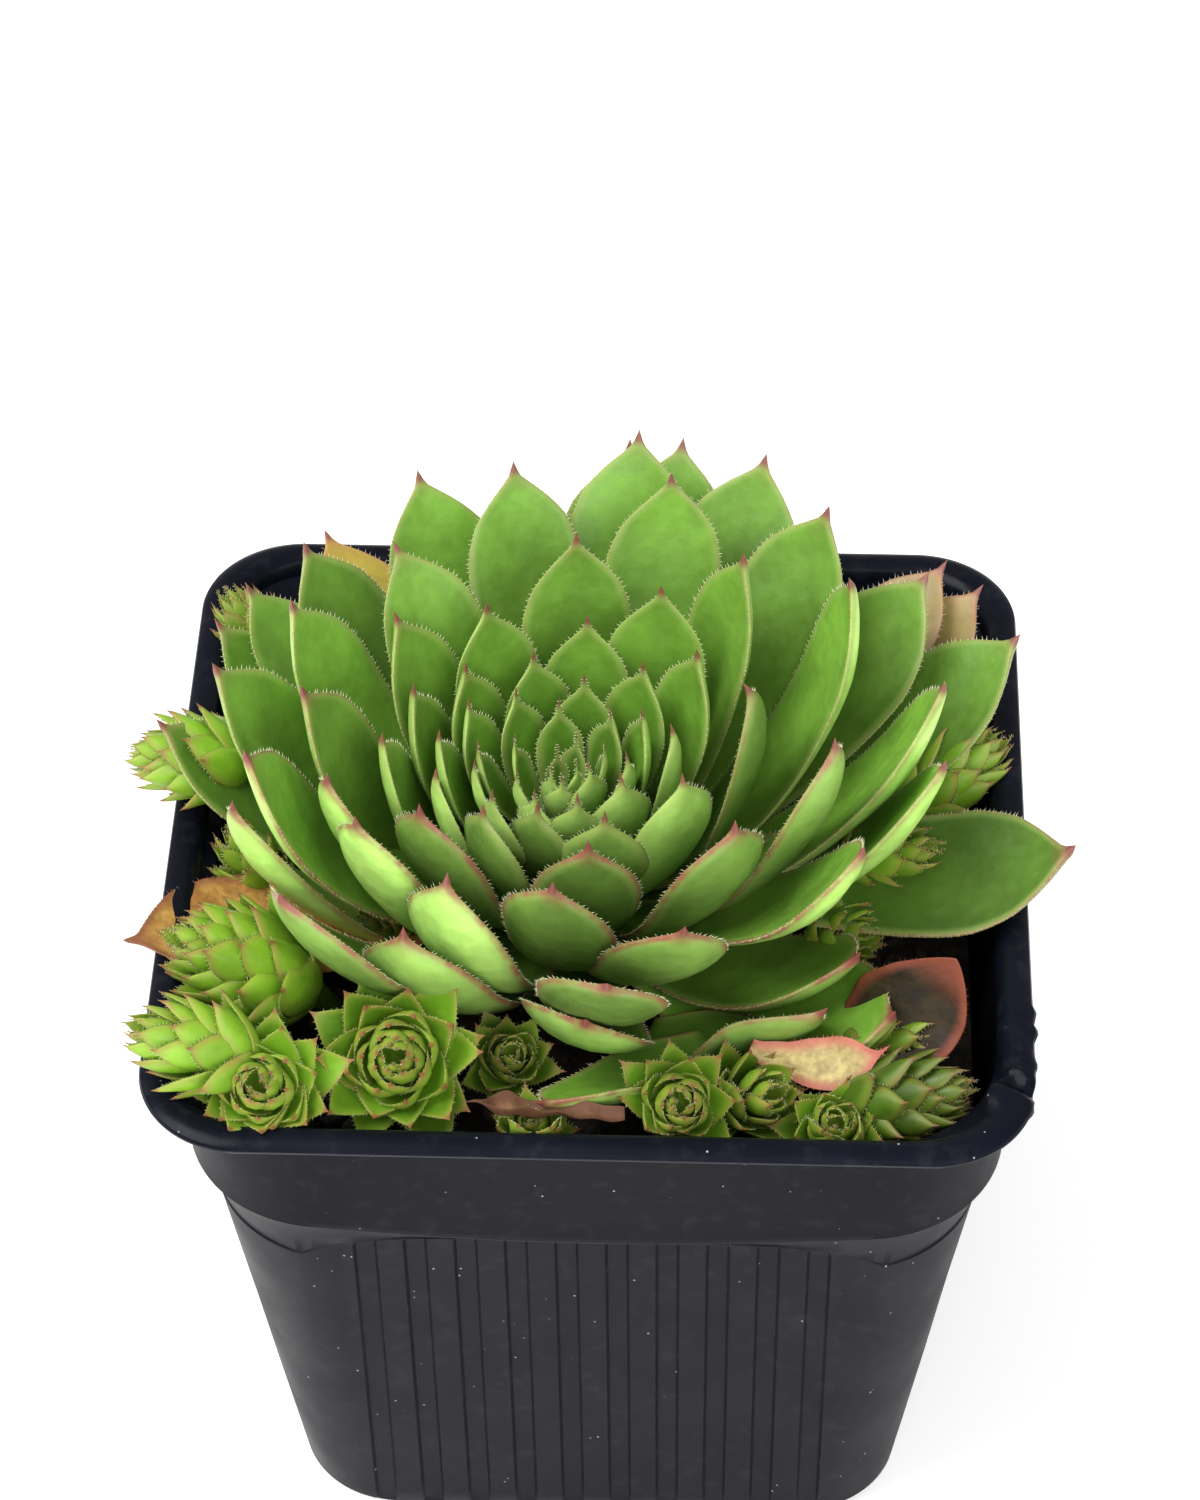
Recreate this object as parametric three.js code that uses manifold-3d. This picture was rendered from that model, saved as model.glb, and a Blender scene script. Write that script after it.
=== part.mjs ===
/**
 * Hens and chicks: a houseleek mother rosette with its offsets, growing in a square plastic nursery pot.
 *
 * Units are millimetres, +Z up. The origin is the centre of the pot's underside, +X is the plant's right
 * and +Y its back. Places on the plant are given from the centre of the pot's lip, at the height of the
 * lip's outer edge.
 */
import * as THREE from "three";
import { mergeVertices } from "three/addons/utils/BufferGeometryUtils.js";
import Module from "manifold-3d";

const wasm = await Module();
wasm.setup();

// ---------------------------------------------------------------------------------------------------------
// Driving dimensions

/** Free space left between pieces that lie against each other. */
const GAP = 0.3;

/** The lip's centre: the moulding stands a little askew on its base. */
const LIP_CENTRE = new THREE.Vector3(-0.6, 0, 73);

const POT = {
  lipHalf: 45,
  lipCorner: 10.8,
  lipDepth: 1.6,
  collarHalf: 42,
  collarCorner: 14.7,
  collarDepth: 15.1,
  collarRounding: { inwards: 0.2, upwards: 0.8 },
  undercut: 7.3,
  bodyHalf: 41.4,
  bodyCorner: 14.9,
  bodyTop: 61.6,
  baseHalf: 33,
  baseCorner: 11,
  baseChamfer: 0.9,
  wall: 1.2,
  floor: 1.4,
};

/**
 * The rolled lip, from its underside over the crest to its inner edge: [how far in from the lip's half
 * width, how much rounder the corner is, height above the lip's outer edge]. The last row is inside.
 */
const LIP_SECTION = [
  [1.3, 1, -0.8],
  [0, 0, 0],
  [0.7, -0.7, 0.8],
  [1.8, -1.4, 1],
  [3.1, -1.6, 0.3],
];

/**
 * How the collar's lower edge and the undercut's own edge run along each side: how far the side's middle
 * lies lower and further out than the corners, over what half width, and how square the bow is. The
 * undercut is deep at the corners only, so its edge rises in the middle.
 */
const COLLAR_BOW = { dip: 2.4, outwards: -0.8, half: 27, power: 2 };
const UNDERCUT_BOW = { dip: -4.5, outwards: 0.6, half: 30, power: 6 };
const NO_BOW = { dip: 0, outwards: 0, half: 1, power: 2 };

const GROOVE = { count: 10, pitch: 5.17, width: 2.2, depth: 0.4, start: -4 };

const DRAIN = { radius: 3, offset: 20, sides: 16 };

const SOIL = { below: 11, socketRadius: 4.5, socketDepth: 6 };

/** The mother's stem: where its neck stands, and how far it has leaned at the bud's height. */
const STEM = { x: -3, y: -0.5, lean: -1.8, neck: -10.4, bud: 11.5, sides: 14 };

/** The stem's outline from its root up to the bud: [radius, height above the lip]. */
const STEM_OUTLINE = [
  [3.4, -16.5],
  [3.5, STEM.neck],
  [6.2, -9],
  [6.6, -4],
  [6.4, 2],
  [4.6, 7],
];

/** The angle between one leaf and the next, and the direction of the youngest leaf. */
const GOLDEN_ANGLE = 137.508;
const FIRST_LEAF_ANGLE = 108.3;

/**
 * How leaf size, place and bend change from the youngest leaf, number 0, outwards: [leaf number, value].
 * A leaf grows from the crown at a height and reach, starts so many degrees flatter than the line to its
 * tip, and ends so many degrees steeper.
 */
const GROWTH = {
  reach: [[0, 1.3], [8, 6.1], [18, 9.4], [30, 13.7], [45, 25.2], [63, 40.4]],
  rise: [[0, 12.9], [8, 14.6], [18, 16.1], [30, 18.5], [45, 22.6], [63, 20.1]],
  centreX: [[0, -3.8], [18, -5], [36, -5], [63, -0.7]],
  width: [[0, 2.4], [8, 5], [16, 7], [29, 9.6], [42, 12], [55, 12.8], [63, 13.5]],
  baseHeight: [[0, 4], [20, -1], [45, -7], [63, -9], [86, -9.8]],
  baseReach: [[0, 0.3], [20, 2.5], [38, 4.5]],
  flatter: [[0, 20], [12, 45], [46, 50], [52, 38], [60, 32], [86, 28]],
  steeper: [[0, 15], [12, 30], [30, 32], [86, 26]],
};

/** The whole rosette leans: leaves at the back and right are carried higher, by this much at one leaf. */
const LEAN = { right: 0.7, back: 2.2 };
const FULLY_CARRIED = 60;

/** Degrees that every blade is turned about its midrib, and how many more at the back. */
const TURNED = { everywhere: -5, back: 14 };

/** Leaves that neighbours push aside: number -> [degrees turned, millimetres further out, and higher]. */
const PUSHED = {
  30: [-8, 1, 0],
  35: [-10, -0.5, 0],
  37: [-5, 0.4, 0],
  40: [-4, -2.2, 0],
  42: [-6, -0.5, 0],
  44: [7, 2, 2],
  45: [5, 1, 0],
  46: [7, 0.5, 0],
  47: [7, 1, 0],
  48: [-6, 1, 2],
  49: [-4, -1.7, 0],
  50: [0, 3.7, 0],
  51: [-3, 2, -2],
  53: [3, -1.5, 4],
  54: [1, -6, 0],
  57: [9, 0, 4],
  58: [-5, 1.5, 0],
  59: [0, 3, 2],
  60: [6, 0, 0],
  61: [4, -2, 0],
  62: [4, 3, 5],
};

/** Leaves with a bend of their own: number -> [degrees flatter, degrees steeper, degrees of turn]. */
const BENT = {
  37: [50, 35, 20],
  38: [55, 30, -8],
  39: [45, 15, 3],
  40: [80, 55, -18],
  41: [50, 30, 5],
  43: [48, 36, -10],
  44: [60, 20, -15],
  45: [58, 30, -18],
  47: [36, 0, -3],
  48: [60, 40, -10],
  49: [35, 40, 8],
  50: [38, 40, 21],
  53: [75, 50, -10],
  54: [80, 60, -5],
  56: [20, 35, 4],
  57: [50, 30, -15],
  59: [50, 20, -15],
  61: [45, 40, -15],
  62: [60, 30, -3],
  64: [45, 40, -5],
  65: [35, 25, -45],
  66: [30, 50, 14],
  67: [-20, 35, 8],
  68: [60, 40, -15],
  81: [75, 50, 22],
  82: [70, 55, 10],
  83: [50, 30, -20],
  84: [20, 20, 32],
  85: [40, 24, -5],
  86: [50, 30, 8],
};

/** Leaves from this number on are pieces of their own; younger ones are one piece with the stem. */
const FIRST_FREE_LEAF = 51;
const LAST_SPIRAL_LEAF = 63;
const FIRST_HEART_LEAF = 12;

/**
 * The oldest leaves lie where the chicks let them: [degrees, reach from the stem, tip height, width]. The
 * last one is a younger leaf that came in beside the spiral, and it is one piece with the heart.
 */
const SKIRT_LEAVES = [
  [325, 37, 6, 14],
  [316, 37.7, 3, 12],
  [322, 43, 3, 17],
  [352, 53, 8, 16.5],
  [353.5, 39, 17, 13.5],
  [23, 51.5, 12, 15],
  [38, 56, 6, 11],
  [42, 54, 8, 11],
  [35, 46, 15, 14.5],
  [63, 44.3, 20, 14],
  [76, 45.6, 18, 14],
  [83, 43, 19, 14],
  [115, 42, 18, 14],
  [124, 51.5, 5, 13],
  [143, 45, 11, 11],
  [149, 45.6, 9, 11],
  [174, 43.5, 12, 12],
  [198.5, 35.5, 16, 12],
  [241, 31.5, 15, 13],
  [275, 35, 10, 14],
  [267, 38, 1, 11],
  [172.7, 37.2, 20, 13.5],
  [222.4, 27.7, 21.5, 12],
];

const LAST_LEAF = LAST_SPIRAL_LEAF + SKIRT_LEAVES.length;

/** Where the feet of leaves are that broke off and stand among the chicks: number -> place. */
const LOOSE_FEET = { 65: [5, -20, -9], 84: [13, -23, -6.5] };

/** A leaf's half outline: [distance from the tip, width], both as shares of the leaf's full width. */
const OUTLINE = [[0, 0], [0.13, 0.09], [0.21, 0.26], [0.34, 0.54], [0.55, 0.84], [0.87, 1], [1.2, 0.97]];

/**
 * A leaf's section: points [across, share of the cup, share of the thickness], from its left margin over
 * the upper face to the right margin and back underneath.
 */
const SECTION = [
  [1, 1, 0.35],
  [0.5, 0.25, 0.5],
  [-0.5, 0.25, 0.5],
  [-1, 1, 0.35],
  [-0.55, 0.3, -0.45],
  [0.55, 0.3, -0.45],
];

/**
 * Shares of a leaf's width: its thickness, its cup and its width at the base. `neck` and `tip` are shares
 * of the thickness at the base and at the very tip, and `spine` is the radius of the point in millimetres.
 */
const LEAF = { thickness: 0.17, cup: 0.1, base: 0.36, neck: 0.55, tip: 0.35, spine: 0.12 };

/** Where a leaf's sections stand, as shares of its length from the stem; inner leaves need fewer. */
const STATIONS = [0.03, 0.25, 0.48, 0.68, 0.82, 0.92];
const INNER_STATIONS = [0.05, 0.6, 0.86];

/** The blade takes up its turn between these shares of its length. */
const TURN_SPAN = { start: 0.1, end: 0.7 };

/**
 * Chicks: name, where the bud's middle is (x, y, height above the lip), where its tip points (degrees
 * round, degrees up), its diameter, its length and how open it is (0 a closed bud, 1 a flat rosette).
 */
const CHICKS = [
  ["chick_left_rim", [-44.3, 5.4, 4.8], [180, 8], 12, 12, 0],
  ["chick_back_left", [-39, 31, 0], [150, 50], 10, 12, 0],
  ["chick_left_small", [-36.8, -3.5, -1], [165, 60], 9, 10, 0],
  ["chick_left_large", [-36.6, -21, 2.4], [190, 35], 15.5, 16, 0],
  ["chick_left_corner", [-40.2, -35.4, 5.4], [178, 20], 11.5, 12.5, 0.1],
  ["chick_front_left", [-32.2, -38.2, 2.4], [264, 50], 14, 9.5, 1],
  ["chick_front_open", [-19.2, -33.5, 1.5], [272, 50], 16.5, 11, 1],
  ["chick_front_shaded", [-8, -28, -4], [285, 60], 10, 8, 0.7],
  ["chick_front_low", [-5.3, -38, -3], [268, 70], 9, 6.5, 0.7],
  ["chick_front_middle", [9.4, -36.4, -0.8], [276, 50], 11.5, 9, 1],
  ["chick_front_bud", [17.4, -33.2, -3.4], [315, 48], 11, 11, 0.2],
  ["chick_front_right", [25, -37.4, -3], [272, 60], 10.5, 8, 0.9],
  ["chick_right_corner", [33, -33.6, -2.6], [355, 22], 11.5, 13, 0],
  ["chick_right_low", [31.5, -25, -4], [350, 22], 9, 10, 0],
  ["chick_right_inner", [31.5, -2.5, 0], [350, 30], 9.5, 11, 0],
  ["chick_right_outer", [38.4, 10.5, 0], [25, 32], 11, 13, 0],
  ["chick_right_hidden", [26.4, -11, -2.5], [325, 40], 9.5, 9, 0],
  ["chick_left_hidden", [-23, -9, -6], [210, 55], 8, 7.5, 0.5],
];

/** A chick's runner, which leans in towards the mother and roots inside the pot, and its bud's lobes. */
const CHICK = {
  stalkRadius: 1.3,
  bend: 2,
  leanIn: 5,
  rootLimit: 35.5,
  sides: 8,
  lobes: 4,
  lobeDepth: 0.12,
};

/** A chick's outline from its runner to its tip: [share of the length, share of the radius]. */
const CLOSED_CHICK = [[0, 0.5], [0.18, 0.86], [0.42, 1], [0.68, 0.82], [0.88, 0.45], [1, 0.1]];
const OPEN_CHICK = [[0, 0.3], [0.25, 0.66], [0.55, 1], [0.72, 0.78], [0.86, 0.5], [1, 0.15]];

/**
 * Withered leaves: name, where each starts and ends (x, y, height above the lip), how wide it is, and its
 * bend: degrees flatter at the start, degrees steeper at the end, and degrees of turn.
 */
const WITHERED = [
  ["withered_leaf_left", [-8, 0, -8], [-48, -19.5, 3.2], 16, [12, 12, 0]],
  ["withered_leaf_front", [4.5, -38.4, -0.8], [-12.3, -39, 1.6], 3.6, [12, 12, 30]],
  ["withered_leaf_right", [27, -26, -6], [37, -22, 5.6], 12, [12, 12, 45]],
  ["withered_leaf_corner", [16, -28.4, -1.2], [30.4, -30.6, 2], 5.6, [50, 50, 40]],
];

// ---------------------------------------------------------------------------------------------------------
// Small tools

const radians = THREE.MathUtils.degToRad;
const UP = new THREE.Vector3(0, 0, 1);

/** The value at `x` of a curve given by its [x, value] knots, straight between them. */
function along(knots, x) {
  const last = knots[knots.length - 1];
  if (x <= knots[0][0]) return knots[0][1];
  if (x >= last[0]) return last[1];
  const next = knots.findIndex(([at]) => at > x);
  const [x0, v0] = knots[next - 1];
  const [x1, v1] = knots[next];
  return THREE.MathUtils.mapLinear(x, x0, x1, v0, v1);
}

/** A closed surface through rings of points that all have the same count, with both ends capped. */
function loft(rings) {
  const points = rings.flat();
  const count = rings[0].length;
  const index = [];
  for (let ring = 0; ring < rings.length - 1; ring++) {
    for (let i = 0; i < count; i++) {
      const a = ring * count + i;
      const b = ring * count + ((i + 1) % count);
      index.push(a, b, b + count, a, b + count, a + count);
    }
  }
  const capEnds = [[0, -1], [(rings.length - 1) * count, 1]];
  for (const [first, turn] of capEnds) {
    const ring = points.slice(first, first + count);
    const middle = ring.reduce((sum, p) => sum.add(p), new THREE.Vector3()).divideScalar(count);
    const centre = points.push(middle) - 1;
    for (let i = 0; i < count; i++) {
      const edge = [first + i, first + ((i + 1) % count)];
      index.push(centre, ...(turn > 0 ? edge : edge.reverse()));
    }
  }
  const geometry = new THREE.BufferGeometry().setFromPoints(points);
  return geometry.setIndex(index);
}

/** A geometry as a manifold-3d solid, turned to face outwards. */
function solid(geometry) {
  const bare = geometry.index ? geometry.toNonIndexed() : geometry.clone();
  bare.deleteAttribute("normal");
  bare.deleteAttribute("uv");
  const merged = mergeVertices(bare, 1e-4);
  const triVerts = new Uint32Array(merged.index.array);
  const vertProperties = merged.attributes.position.array;
  const made = new wasm.Manifold(new wasm.Mesh({ numProp: 3, vertProperties, triVerts }));
  if (made.volume() > 0) return made;
  for (let i = 0; i < triVerts.length; i += 3) {
    [triVerts[i + 1], triVerts[i + 2]] = [triVerts[i + 2], triVerts[i + 1]];
  }
  return new wasm.Manifold(new wasm.Mesh({ numProp: 3, vertProperties, triVerts }));
}

/** A solid's largest body, without the crumbs that a cut leaves. */
function largestBody(piece) {
  const bodies = piece.decompose().filter((body) => body.volume() > 0);
  return bodies.sort((a, b) => b.volume() - a.volume())[0];
}

/** A solid's largest body as a geometry. */
function geometryOf(piece) {
  const mesh = largestBody(piece).getMesh();
  const geometry = new THREE.BufferGeometry();
  const positions = new Float32Array(mesh.numVert * 3);
  for (let i = 0; i < mesh.numVert; i++) {
    positions.set(mesh.vertProperties.subarray(i * mesh.numProp, i * mesh.numProp + 3), i * 3);
  }
  geometry.setAttribute("position", new THREE.BufferAttribute(positions, 3));
  geometry.setIndex(new THREE.BufferAttribute(mesh.triVerts, 1));
  return geometry;
}

/** The solid of a geometry after it is placed by a matrix. */
function placedSolid(geometry, matrix) {
  return solid(geometry.clone().applyMatrix4(matrix));
}

/** A finish: colour, roughness; nothing on the plant or pot is metal. */
function finish(color, roughness) {
  return new THREE.MeshStandardMaterial({ color, roughness, metalness: 0 });
}

const FINISHES = {
  pot: finish(0x15161c, 0.45),
  soil: finish(0x2a2019, 0.95),
  leaf: finish(0x6fa03a, 0.5),
  chick: finish(0x86b04a, 0.55),
  withered: finish(0xa0703c, 0.8),
};

// ---------------------------------------------------------------------------------------------------------
// Pot and soil

/** The share of a bow that is reached at a distance from the side's middle. */
function bowAt(bow, x) {
  return Math.max(0, 1 - (x / bow.half) ** bow.power);
}

/** How many steps a ring of the pot takes round each corner, and along each side. */
const CORNER_STEPS = 5;
const SIDE_STEPS = 5;

/** A rounded square of points at half width `half`; `bow` moves the middle of each side. */
function squareRing(half, corner, z, bow = NO_BOW) {
  const points = [];
  for (let quarter = 0; quarter < 4; quarter++) {
    const turn = (quarter * Math.PI) / 2;
    const reach = half - corner;
    const place = (x, y) => new THREE.Vector3(x, y, z).applyAxisAngle(UP, turn);
    for (let i = 0; i <= CORNER_STEPS; i++) {
      const angle = ((i / CORNER_STEPS) * Math.PI) / 2;
      points.push(place(reach + corner * Math.cos(angle), reach + corner * Math.sin(angle)));
    }
    for (let i = 1; i < SIDE_STEPS; i++) {
      const x = reach * (1 - (2 * i) / SIDE_STEPS);
      const share = bowAt(bow, x);
      const point = place(x, half + bow.outwards * share);
      point.z -= bow.dip * share;
      points.push(point);
    }
  }
  return points;
}

/** Half width and corner radius of the body's outer face at height z, between base and collar. */
function bodyAt(z) {
  const share = z / POT.bodyTop;
  return [
    THREE.MathUtils.lerp(POT.baseHalf, POT.bodyHalf, share),
    THREE.MathUtils.lerp(POT.baseCorner, POT.bodyCorner, share),
  ];
}

/** The pot's wall as one turned-over profile, from the underside up, over the lip and down inside. */
function potGeometry(swell = 0) {
  const { lipHalf, lipCorner, lipDepth, collarHalf, collarCorner, collarRounding, wall } = POT;
  const lipZ = LIP_CENTRE.z;
  const edge = lipZ - POT.collarDepth;
  const outer = (half, corner, z, bow) => squareRing(half + swell, corner + swell, z, bow);
  const inner = (half, corner, z) => squareRing(half - swell, corner - swell, z + swell);
  const lip = LIP_SECTION.map(([inwards, rounder, up], i) => {
    const ring = i === LIP_SECTION.length - 1 ? inner : outer;
    const lift = Math.round(up) * swell;
    const points = ring(lipHalf - inwards, lipCorner + rounder, lipZ + up + lift);
    return points.map((point) => point.setX(point.x + LIP_CENTRE.x));
  });
  const [bodyHalf, bodyCorner] = bodyAt(edge - POT.undercut);
  const [wallHalf, wallCorner] = bodyAt(edge);
  return loft([
    outer(POT.baseHalf - POT.baseChamfer, POT.baseCorner - POT.baseChamfer, -swell),
    outer(POT.baseHalf, POT.baseCorner, POT.baseChamfer - swell),
    outer(bodyHalf, bodyCorner, edge - POT.undercut - swell, UNDERCUT_BOW),
    outer(collarHalf - collarRounding.inwards, collarCorner, edge - swell, COLLAR_BOW),
    outer(collarHalf, collarCorner, edge + collarRounding.upwards, COLLAR_BOW),
    outer(collarHalf, collarCorner, lipZ - lipDepth - swell),
    ...lip,
    inner(collarHalf - wall, collarCorner - wall, lipZ - lipDepth),
    inner(wallHalf - wall, wallCorner - wall, edge),
    inner(POT.baseHalf - wall, POT.baseCorner - wall, POT.floor),
  ]);
}

/** One bar for each groove of the four walls; each stops at the undercut. */
function grooveCutters() {
  const cutters = [];
  const edge = LIP_CENTRE.z - POT.collarDepth;
  const slope = Math.atan2(POT.bodyHalf - POT.baseHalf, POT.bodyTop);
  for (let side = 0; side < 4; side++) {
    for (let i = 0; i < GROOVE.count; i++) {
      const x = (i - (GROOVE.count - 1) / 2) * GROOVE.pitch;
      const top = edge - POT.undercut - UNDERCUT_BOW.dip * bowAt(UNDERCUT_BOW, x);
      const length = (top - GROOVE.start) / Math.cos(slope);
      const bar = new THREE.BoxGeometry(GROOVE.width, 2 * GROOVE.depth, length);
      bar.translate(0, 0, length / 2);
      bar.rotateX(slope);
      bar.translate(x, -bodyAt(GROOVE.start)[0], GROOVE.start);
      bar.rotateZ((side * Math.PI) / 2);
      cutters.push(solid(bar));
    }
  }
  return cutters;
}

/** Round drain holes through the floor, one near each corner. */
function drainCutters() {
  return [45, 135, 225, 315].map((angle) => {
    const hole = new THREE.CylinderGeometry(DRAIN.radius, DRAIN.radius, 4 * POT.floor, DRAIN.sides);
    hole.rotateX(Math.PI / 2);
    const x = DRAIN.offset * Math.sign(Math.cos(radians(angle)));
    const y = DRAIN.offset * Math.sign(Math.sin(radians(angle)));
    return solid(hole.translate(x, y, 0));
  });
}

function potSolid() {
  const cutters = [...grooveCutters(), ...drainCutters()];
  return cutters.reduce((pot, cutter) => pot.subtract(cutter), solid(potGeometry()));
}

/** The potting mix: it follows the inner walls and holds the mother's root in a socket. */
function soilSolid(swell = 0) {
  const bottom = POT.floor + GAP;
  const top = LIP_CENTRE.z - SOIL.below;
  const ring = (z) => {
    const [half, corner] = bodyAt(Math.min(z, LIP_CENTRE.z - POT.collarDepth));
    return [half - POT.wall - 2 * GAP + swell, corner - POT.wall - GAP + swell];
  };
  const block = solid(loft([squareRing(...ring(bottom), bottom), squareRing(...ring(top), top + swell)]));
  const radius = SOIL.socketRadius - swell;
  const socket = new THREE.CylinderGeometry(radius, radius, 2 * SOIL.socketDepth, DRAIN.sides);
  socket.rotateX(Math.PI / 2);
  return block.subtract(solid(socket.translate(STEM.x + LIP_CENTRE.x, STEM.y, top)));
}

// ---------------------------------------------------------------------------------------------------------
// Leaves

/**
 * A fleshy leaf in its own frame: it starts at the origin and ends `reach` along X and `rise` up. The
 * midrib starts `flatter` degrees below the straight line to the tip and ends `steeper` degrees above it,
 * and the blade is cupped and turned by `turn` degrees about the midrib.
 */
function leafGeometry({ reach, rise, width, flatter, steeper, turn = 0, swell = 0 }, shares = STATIONS) {
  const tip = new THREE.Vector3(reach, 0, rise);
  const length = tip.length();
  const slope = Math.atan2(rise, reach);
  const heading = (angle, size) => new THREE.Vector3(size * Math.cos(angle), 0, size * Math.sin(angle));
  const midrib = new THREE.CubicBezierCurve3(
    new THREE.Vector3(),
    heading(slope - radians(flatter), length / 3),
    tip.clone().sub(heading(slope + radians(steeper), length / 3)),
    tip,
  );
  const outline = [...OUTLINE, [length / width, LEAF.base]];
  const rings = shares.map((share) => {
    const centre = midrib.getPoint(share);
    const tangent = midrib.getTangent(share);
    const turned = radians(turn) * THREE.MathUtils.smoothstep(share, TURN_SPAN.start, TURN_SPAN.end);
    const left = new THREE.Vector3(0, 1, 0).applyAxisAngle(tangent, turned);
    const up = tangent.clone().cross(left);
    const toTip = (1 - share) * length;
    const half = (along(outline, toTip / width) * width) / 2 + swell;
    const fleshy = Math.min(1, LEAF.tip + toTip / width);
    const thick = LEAF.thickness * width * fleshy * (share === shares[0] ? LEAF.neck : 1);
    const cup = LEAF.cup * 2 * half * fleshy;
    return SECTION.map(([across, cupped, deep]) => {
      const onMargin = Math.abs(across) === 1;
      const lift = cupped * cup + deep * thick + (onMargin ? 0 : Math.sign(deep) * swell);
      return centre.clone().addScaledVector(left, across * half).addScaledVector(up, lift);
    });
  });
  const last = tip.clone().addScaledVector(midrib.getTangent(1), swell);
  const spine = LEAF.spine + swell / 2;
  const lastRing = SECTION.map((_, i) => {
    const angle = (2 * Math.PI * i) / SECTION.length;
    return last.clone().add(new THREE.Vector3(0, spine * Math.cos(angle), spine * Math.sin(angle)));
  });
  return loft([...rings, lastRing]);
}

/** A leaf's place: its own frame stands at `root`, and X looks towards `tip`, seen from above. */
function leafPlace(root, tip) {
  const across = new THREE.Vector2(tip.x - root.x, tip.y - root.y);
  const matrix = new THREE.Matrix4().makeRotationZ(across.angle()).setPosition(root);
  return { matrix, reach: across.length(), rise: tip.z - root.z };
}

/** A point on the stem's axis at height z. */
function stemPoint(z) {
  const share = THREE.MathUtils.mapLinear(z, STEM.neck, STEM.bud, 0, 1);
  return new THREE.Vector3(STEM.x + STEM.lean * share, STEM.y, z);
}

/** Where the tip of leaf `number` is, counted from the youngest, and how wide the leaf is. */
function leafSize(number) {
  const old = SKIRT_LEAVES[number - LAST_SPIRAL_LEAF - 1];
  if (old) {
    const [degrees, reach, height, width] = old;
    const aside = new THREE.Vector3(reach, 0, 0).applyAxisAngle(UP, radians(degrees));
    return { tip: new THREE.Vector3(STEM.x, STEM.y, height).add(aside), width };
  }
  const [turned, outwards, lifted] = PUSHED[number] ?? [0, 0, 0];
  const angle = radians(FIRST_LEAF_ANGLE - GOLDEN_ANGLE * number + turned);
  const reach = along(GROWTH.reach, number) + outwards;
  const carried = (number / FULLY_CARRIED) * (LEAN.right * Math.cos(angle) + LEAN.back * Math.sin(angle));
  const tip = new THREE.Vector3(
    along(GROWTH.centreX, number) + reach * Math.cos(angle),
    STEM.y + reach * Math.sin(angle),
    along(GROWTH.rise, number) + carried + lifted,
  );
  return { tip, width: along(GROWTH.width, number) };
}

/** Leaf `number`, counted from the youngest: it grows from the crown and bends up to its tip. */
function henLeaf(number) {
  const { tip, width } = leafSize(number);
  const loose = LOOSE_FEET[number];
  const root = loose ? new THREE.Vector3(...loose) : stemPoint(along(GROWTH.baseHeight, number));
  const outwards = tip.clone().sub(root).setZ(0).normalize();
  const lawful = [
    along(GROWTH.flatter, number),
    along(GROWTH.steeper, number),
    TURNED.everywhere + TURNED.back * outwards.y,
  ];
  const [flatter, steeper, turn] = BENT[number] ?? lawful;
  if (!loose) root.addScaledVector(outwards, along(GROWTH.baseReach, number));
  return { name: `hen_leaf_${number}`, ...leafPlace(root, tip), width, flatter, steeper, turn };
}

/** Stem, crown and inner leaves, which are one piece. */
function heartSolid(swell = 0) {
  const flank = STEM_OUTLINE.map(([radius, z]) => [radius + swell, z]);
  const foot = STEM_OUTLINE[0][1] - swell;
  flank[0][1] = foot;
  const profile = [[0, foot], ...flank, [0, STEM.bud + swell]];
  const turned = new THREE.LatheGeometry(profile.map(([r, z]) => new THREE.Vector2(r, z)), STEM.sides);
  turned.rotateX(Math.PI / 2);
  const lean = STEM.lean / (STEM.bud - STEM.neck);
  const shear = new THREE.Matrix4().set(
    1, 0, lean, STEM.x - lean * STEM.neck,
    0, 1, 0, STEM.y,
    0, 0, 1, 0,
    0, 0, 0, 1,
  );
  let heart = placedSolid(turned, shear);
  const young = FIRST_FREE_LEAF - FIRST_HEART_LEAF;
  const numbers = Array.from({ length: young }, (_, i) => FIRST_HEART_LEAF + i);
  for (const number of [...numbers, LAST_LEAF]) {
    const leaf = henLeaf(number);
    heart = heart.add(placedSolid(leafGeometry({ ...leaf, swell }, INNER_STATIONS), leaf.matrix));
  }
  return largestBody(heart);
}

// ---------------------------------------------------------------------------------------------------------
// Chicks

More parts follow.
